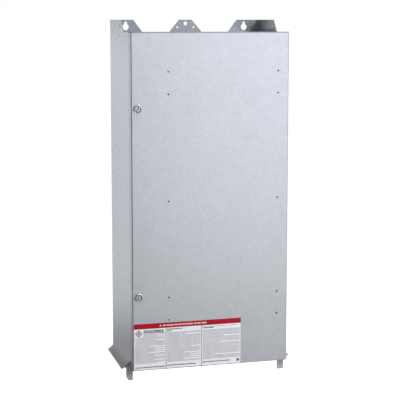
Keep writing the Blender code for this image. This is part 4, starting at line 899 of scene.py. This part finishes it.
class PANELBOX_OT_hinges(bpy.types.Operator):
    """Finishes both butt hinges, and rivets their leaves to the wall and the cover"""

    bl_idname = "panelbox.hinges"
    bl_label = "Hinges"

    def rivets(self, name, leaf, face, depth, body, finish):
        """Three domed heads along one leaf, on its outer face."""
        low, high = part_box(leaf)
        profile = [(0.0, 0.0), (RIVET_RADIUS, 0.0)]
        for step in range(1, 5):
            angle = math.pi / 2 * step / 5
            profile.append((RIVET_RADIUS * math.cos(angle), RIVET_HEIGHT * math.sin(angle)))
        profile.append((0.0, RIVET_HEIGHT))
        shape = bmesh.new()
        outwards = Matrix.Rotation(math.pi / 2, 4, "Y")
        for share in RIVET_SHARES:
            before = set(shape.verts)
            turned(shape, profile, Vector((0.0, 0.0, 0.0)), SMALL_STEPS, 2)
            head = [vertex for vertex in shape.verts if vertex not in before]
            place = Matrix.Translation((face, depth, low.z + (high.z - low.z) * share))
            bmesh.ops.transform(shape, matrix=place @ outwards, verts=head)
        made = as_object(name, shape, finish)
        settle(made)
        joins(made, body)

    def execute(self, context):
        zinc = plated("hinge_zinc", (0.60, 0.61, 0.63), 0.38)
        steel = plated("hinge_pin_steel", (0.52, 0.52, 0.53), 0.30)
        for name in ("upper", "lower"):
            wall = name + "_hinge_wall_leaf"
            cover = name + "_hinge_cover_leaf"
            refined(wall, zinc, 0.00025)
            refined(cover, zinc, 0.00025)
            refined(name + "_hinge_pin", steel, 0.0003)
            leaf = LEAF_GAP + LEAF_SHEET
            cover_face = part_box("front_cover")[1].x + leaf
            cover_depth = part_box(cover)[0].y + 0.009
            self.rivets(name + "_cover_rivets", cover, cover_face, cover_depth, "cover", steel)
            wall_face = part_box(wall)[0].x + LEAF_SHEET
            wall_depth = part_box(wall)[1].y - 0.008
            self.rivets(name + "_wall_rivets", wall, wall_face, wall_depth, "enclosure", steel)
        return {"FINISHED"}


class PANELBOX_OT_interior(bpy.types.Operator):
    """Finishes the pan, the bus bars, their supports and the terminal bars"""

    bl_idname = "panelbox.interior"
    bl_label = "Interior"

    def wire_screws(self, bar, finish, slot_shade_finish):
        """A row of slotted screws along one terminal bar."""
        low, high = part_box(bar)
        centre = centre_of(bar)
        count = int((high.z - low.z) / WIRE_SCREW_PITCH)
        heights = [centre.z + (k - (count - 1) / 2) * WIRE_SCREW_PITCH for k in range(count)]
        front = low.y - 0.0016
        seat = low.y + 0.0002
        profile = [(0.0, front), (0.0034, front), (0.0038, front + 0.0004), (0.0038, seat), (0.0, seat)]
        shape = bmesh.new()
        for z in heights:
            turned(shape, profile, Vector((centre.x, 0.0, z)), SMALL_STEPS)
        made = as_object(bar + "_screws", shape, finish, slot_shade_finish)
        cutter = bmesh.new()
        for z in heights:
            corner = (centre.x - 0.005, low.y - 0.003, z - 0.0005)
            slab(cutter, corner, (centre.x + 0.005, low.y - 0.0008, z + 0.0005))
        carve(made, cutter)
        settle(made, 0.0001)
        joins(made, "enclosure")

    def execute(self, context):
        box = settings()
        pan = galvanised("pan_zinc", box.sheet, 0.90, 0.04)
        red = moulded("support_red_moulded", box.breaker.insulator, 0.56, 900.0)
        tin = plated("bus_tin", (0.72, 0.71, 0.68), 0.30)
        alloy = plated("lug_alloy", (0.77, 0.78, 0.79), 0.36)
        screw = plated("wire_screw_zinc", (0.58, 0.58, 0.60), 0.36)
        # Near-black painted shade for the screw slots.
        shadow = plated("wire_screw_slot_painted_shade", (0.15, 0.15, 0.15), 0.6)
        for node in ("interior_pan", "pan_bracket_upper", "pan_bracket_lower"):
            refined(node, pan, box.sheet.edge)
        for node in ("bus_support_base", "neutral_insulator"):
            refined(node, red, 0.0006)
        for letter in "abc":
            refined("bus_bar_" + letter, tin, 0.0005)
            refined("line_lug_" + letter, alloy, 0.0004)
        for bar in ("neutral_bar", "ground_bar"):
            refined(bar, alloy, 0.0004)
            self.wire_screws(bar, screw, shadow)
        return {"FINISHED"}


def toggle_joint(node):
    """The joint that a toggle turns about."""
    body = body_of(node)
    for joint in frame["joints"]:
        if joint["child"] == body:
            return joint
    raise ValueError("no joint moves " + node)


def face_details(name, low, high, slot_half, finishes, upright):
    """A raised rim, a frame round the toggle, I and O marks and a rating plate on a breaker's front.

    low and high are the corners of the front face at its own depth, and slot_half is half the
    frame's size along X and Z. An upright breaker has its marks above and below the toggle.
    """
    front = low.y
    middle = (low + high) / 2
    seat = front - PLATE_SUNK
    inset = 0.002
    shape = bmesh.new()
    outer_low = (low.x + inset, front - 0.0007, low.z + inset)
    border(shape, outer_low, (high.x - inset, seat, high.z - inset), 0.0022)
    frame_low = (middle.x - slot_half[0], front - 0.0011, middle.z - slot_half[1])
    frame_high = (middle.x + slot_half[0], seat, middle.z + slot_half[1])
    border(shape, frame_low, frame_high, 0.0020)
    if upright:
        stand = slot_half[1] + 0.009
        on_x, on_z = middle.x, middle.z + stand
        off_x, off_z = middle.x, middle.z - stand
        left, right, head = low.x + 0.008, low.x + 0.034, low.z + 0.024
    else:
        stand = slot_half[0] + 0.007
        on_x, on_z = middle.x - stand, middle.z
        off_x, off_z = middle.x + stand, middle.z
        left, right, head = middle.x - 0.026, middle.x + 0.026, low.z + 0.020
    proud = front - MARK_PROUD
    sunk = front + MARK_SUNK
    stroke = 0.0009
    size = 0.0032
    bar_low = (on_x - 0.0005, proud, on_z - size)
    slab(shape, bar_low, (on_x + 0.0005, sunk, on_z + size), 1)
    ring = [(size, sunk), (size, proud), (size - stroke, proud), (size - stroke, sunk)]
    before = set(shape.faces)
    turned(shape, ring, Vector((off_x, 0.0, off_z)), SMALL_STEPS)
    for face in set(shape.faces) - before:
        face.material_index = 1
    rounded_plate(shape, (left, proud, low.z + 0.006), (right, seat, head), 0.001, 4, 2)
    made = as_object(name, shape, *finishes)
    settle(made, 0.00025)
    return joins(made, "enclosure")


def rating_print(name, colour):
    """Pale rating plate with greeked rows."""
    made = Finish(name)
    spot = made.add("ShaderNodeSeparateXYZ", {"Vector": made.place})
    level = made.math("DIVIDE", spot.outputs["Z"], 0.0024)
    row = made.math("FLOOR", level)
    stroke = made.between(made.math("FRACT", level), 0.30, 0.72)
    word = made.math("FLOOR", made.math("DIVIDE", spot.outputs["X"], 0.0031))
    place = made.add("ShaderNodeCombineXYZ", {"X": word, "Y": row, "Z": 3.0})
    kept = made.add("ShaderNodeTexWhiteNoise", {"Vector": place.outputs[0]}, noise_dimensions="3D")
    ink = made.product(stroke, made.math("GREATER_THAN", kept.outputs["Value"], 0.35))
    body = made.mix(made.math("MULTIPLY", ink, 0.75), tint(colour), (0.03, 0.03, 0.035, 1.0))
    rough = made.spread(made.noise(120.0), 0.36, 0.50, 0.3, 0.7)
    return made.set(Base_Color=body, Roughness=rough)


class PANELBOX_OT_branch_breakers(bpy.types.Operator):
    """Finishes the branch breakers, their toggles and their front details"""

    bl_idname = "panelbox.branch_breakers"
    bl_label = "Branch breakers"

    def execute(self, context):
        look = settings().breaker
        case = moulded("branch_case_plastic", look.case, 0.46)
        lever = moulded("branch_toggle_plastic", look.toggle, 0.34, 2600.0)
        mark = moulded("branch_marking", look.marking, 0.45)
        rating = rating_print("branch_rating_print", (0.62, 0.62, 0.60))
        cases = [node for node in frame["nodes"] if node.startswith("branch_case_")]
        for node in sorted(cases):
            refined(node, case, 0.0008)
            handle = node.replace("case", "handle")
            refined(handle, lever, 0.0005, 3)
            low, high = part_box(node)
            x = toggle_joint(handle)["pos_m"][0]
            corner = Vector((x - FACE_HALF, low.y, low.z))
            far_corner = Vector((x + FACE_HALF, low.y, high.z))
            finishes = (case, mark, rating)
            face_details(node + "_front", corner, far_corner, (0.0125, 0.0155), finishes, False)
        return {"FINISHED"}


class PANELBOX_OT_main_breaker(bpy.types.Operator):
    """Finishes the main breaker, its toggle, its trip button and its front details"""

    bl_idname = "panelbox.main_breaker"
    bl_label = "Main breaker"

    def execute(self, context):
        look = settings().breaker
        case = moulded("main_case_plastic", look.case, 0.44)
        lever = moulded("main_toggle_plastic", look.toggle, 0.32, 2600.0)
        mark = moulded("main_marking", look.marking, 0.45)
        rating = rating_print("main_rating_print", (0.62, 0.62, 0.60))
        button = moulded("trip_button_plastic", look.trip, 0.36, 2600.0)
        refined("main_breaker_case", case, 0.0010)
        refined("main_breaker_handle", lever, 0.0006, 3)
        refined("main_trip_button", button, 0.0006, 3)
        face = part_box("main_breaker_case")[0].y
        z = toggle_joint("main_breaker_handle")["pos_m"][2]
        corner = Vector((-MAIN_FACE_HALF[0], face, z - MAIN_FACE_HALF[1]))
        far_corner = Vector((MAIN_FACE_HALF[0], face, z + MAIN_FACE_HALF[1]))
        finishes = (case, mark, rating)
        face_details("main_case_front", corner, far_corner, (0.0205, 0.0165), finishes, True)
        return {"FINISHED"}


class PANELBOX_OT_deadfront(bpy.types.Operator):
    """Finishes the deadfront panel, its screws and the filler"""

    bl_idname = "panelbox.deadfront"
    bl_label = "Deadfront"

    def execute(self, context):
        look = settings().breaker
        enamel = enamelled("deadfront_enamel", look.enamel, 0.46)
        refined("deadfront_panel", enamel, 0.0003)
        refined("filler_plate", moulded("filler_plastic", look.case, 0.50), 0.0005)
        screw = plated("deadfront_screw_zinc", (0.60, 0.60, 0.62), 0.34)
        for node in sorted(frame["nodes"]):
            if node.startswith("deadfront_screw_"):
                refined(node, screw, 0.0003)
        return {"FINISHED"}


# ---------------------------------------------------------------- stage


class PANELBOX_OT_stage(bpy.types.Operator):
    """Lays the pale floor and sets the soft light and the camera"""

    bl_idname = "panelbox.stage"
    bl_label = "Stage"

    def lay_floor(self, stage):
        """A wide pale floor below the box, evenly white where it is seen directly."""
        made = Finish("floor_pale")
        shade = made.spread(made.noise(2.0, 3.0), 0.96 * stage.floor, 1.04 * stage.floor)
        grey = made.add("ShaderNodeCombineColor", {"Red": shade, "Green": shade, "Blue": shade})
        finish = made.set(Base_Color=grey.outputs["Color"], Roughness=0.9)
        seen = made.add("ShaderNodeLightPath").outputs["Is Camera Ray"]
        made.feed(made.shader.inputs["Specular IOR Level"], 0.1)
        made.feed(made.shader.inputs["Emission Color"], (1.0, 1.0, 1.0, 1.0))
        made.feed(made.shader.inputs["Emission Strength"], seen)
        level = CAD_BOX[0].z - stage.floor_drop
        shape = bmesh.new()
        slab(shape, (-40.0, -40.0, level - 0.02), (40.0, 40.0, level))
        as_object("floor", shape, finish)

    def light_room(self, stage):
        """White where it is seen directly, and elsewhere lighter at eye level than overhead."""
        world = bpy.data.worlds.new("studio")
        world.use_nodes = True
        nodes = world.node_tree.nodes
        wires = world.node_tree.links
        backdrop = nodes["Background"]
        way = nodes.new("ShaderNodeTexCoord")
        split = nodes.new("ShaderNodeSeparateXYZ")
        wires.new(way.outputs["Generated"], split.inputs[0])
        rise = nodes.new("ShaderNodeMapRange")
        rise.interpolation_type = "SMOOTHSTEP"
        rise.inputs["From Min"].default_value = 0.0
        rise.inputs["From Max"].default_value = 0.7
        rise.inputs["To Min"].default_value = stage.room_low
        rise.inputs["To Max"].default_value = stage.room_high
        wires.new(split.outputs["Z"], rise.inputs["Value"])
        path = nodes.new("ShaderNodeLightPath")
        pick = nodes.new("ShaderNodeMix")
        wires.new(path.outputs["Is Camera Ray"], pick.inputs[0])
        wires.new(rise.outputs["Result"], pick.inputs[2])
        pick.inputs[3].default_value = 1.0
        backdrop.inputs["Color"].default_value = (1.0, 1.0, 1.0, 1.0)
        wires.new(pick.outputs[0], backdrop.inputs["Strength"])
        bpy.context.scene.world = world

    def add_light(self, name, place, target, size, brightness):
        """One large soft light of even brightness, aimed at a point and unseen by the camera."""
        lamp = bpy.data.lights.new(name, "AREA")
        lamp.shape = "RECTANGLE"
        lamp.size = size[0]
        lamp.size_y = size[1]
        lamp.energy = brightness * math.pi * size[0] * size[1]
        lamp.color = COOL_WHITE
        made = bpy.data.objects.new(name, lamp)
        made.location = place
        made.rotation_euler = (Vector(target) - Vector(place)).to_track_quat("-Z", "Y").to_euler()
        made.visible_camera = False
        bpy.context.scene.collection.objects.link(made)

    def set_camera(self, stage):
        """The camera, level across and dipped below the horizon."""
        camera = bpy.data.cameras.new("camera")
        camera.lens = stage.lens
        camera.sensor_width = 36.0
        camera.clip_end = 200.0
        made = bpy.data.objects.new("camera", camera)
        made.location = stage.place
        made.rotation_euler = (math.pi / 2 - stage.dip, 0.0, -stage.turn)
        bpy.context.scene.collection.objects.link(made)
        bpy.context.scene.camera = made

    def execute(self, context):
        stage = settings().stage
        self.lay_floor(stage)
        self.light_room(stage)
        lights = (
            ("front_softbox", (1.6, -3.1, 0.03), (1.3, 0.0, 0.03), (2.8, 1.96), stage.front_light),
            ("back_softbox", (-2.10, 3.0, -0.29), (-1.7, 0.0, -0.29), (2.6, 1.74), stage.back_light),
            ("right_softbox", (3.3, 1.3, 0.2), (0.3, 0.0, 0.0), (3.0, 2.2), stage.right_light),
            ("rear_softbox", (0.9, 3.4, 0.9), (0.2, 0.0, 0.0), (1.8, 1.6), stage.right_light),
            ("key_softbox", (2.0, -2.4, 2.6), (0.0, -0.28, -0.3), (1.6, 1.6), stage.key_light),
        )
        for name, place, target, size, brightness in lights:
            self.add_light(name, place, target, size, brightness)
        self.set_camera(stage)
        context.scene.view_settings.view_transform = "Standard"
        return {"FINISHED"}


# ---------------------------------------------------------------- add-on


PIECES = (
    PANELBOX_OT_enclosure,
    PANELBOX_OT_cover,
    PANELBOX_OT_label,
    PANELBOX_OT_latches,
    PANELBOX_OT_hinges,
    PANELBOX_OT_interior,
    PANELBOX_OT_branch_breakers,
    PANELBOX_OT_main_breaker,
    PANELBOX_OT_deadfront,
    PANELBOX_OT_stage,
)


class PANELBOX_PT_sidebar(bpy.types.Panel):
    """Lists the panel box's pieces and settings in the sidebar"""

    bl_idname = "PANELBOX_PT_sidebar"
    bl_label = "Panel Box"
    bl_space_type = "VIEW_3D"
    bl_region_type = "UI"
    bl_category = "Panel Box"

    def draw(self, context):
        box = context.scene.panel_box
        for piece in PIECES:
            self.layout.operator(piece.bl_idname)
        for group in (box.sheet, box.label, box.latch, box.breaker, box.stage):
            column = self.layout.column()
            for name in group.bl_rna.properties.keys():
                if name not in ("rna_type", "name"):
                    column.prop(group, name)


GROUPS = (
    SheetSettings,
    LabelSettings,
    LatchSettings,
    BreakerSettings,
    StageSettings,
    PanelBoxSettings,
)


def register():
    """Registers the settings, the operators and the sidebar."""
    for kind in GROUPS + PIECES + (PANELBOX_PT_sidebar,):
        bpy.utils.register_class(kind)
    bpy.types.Scene.panel_box = bpy.props.PointerProperty(type=PanelBoxSettings)


def unregister():
    """Takes the add-on out again."""
    del bpy.types.Scene.panel_box
    for kind in reversed(GROUPS + PIECES + (PANELBOX_PT_sidebar,)):
        bpy.utils.unregister_class(kind)


def main():
    """Builds every piece and the stage."""
    register()
    bpy.ops.panelbox.enclosure()
    bpy.ops.panelbox.cover()
    bpy.ops.panelbox.label()
    bpy.ops.panelbox.latches()
    bpy.ops.panelbox.hinges()
    bpy.ops.panelbox.interior()
    bpy.ops.panelbox.branch_breakers()
    bpy.ops.panelbox.main_breaker()
    bpy.ops.panelbox.deadfront()
    bpy.ops.panelbox.stage()


if __name__ == "__main__":
    main()
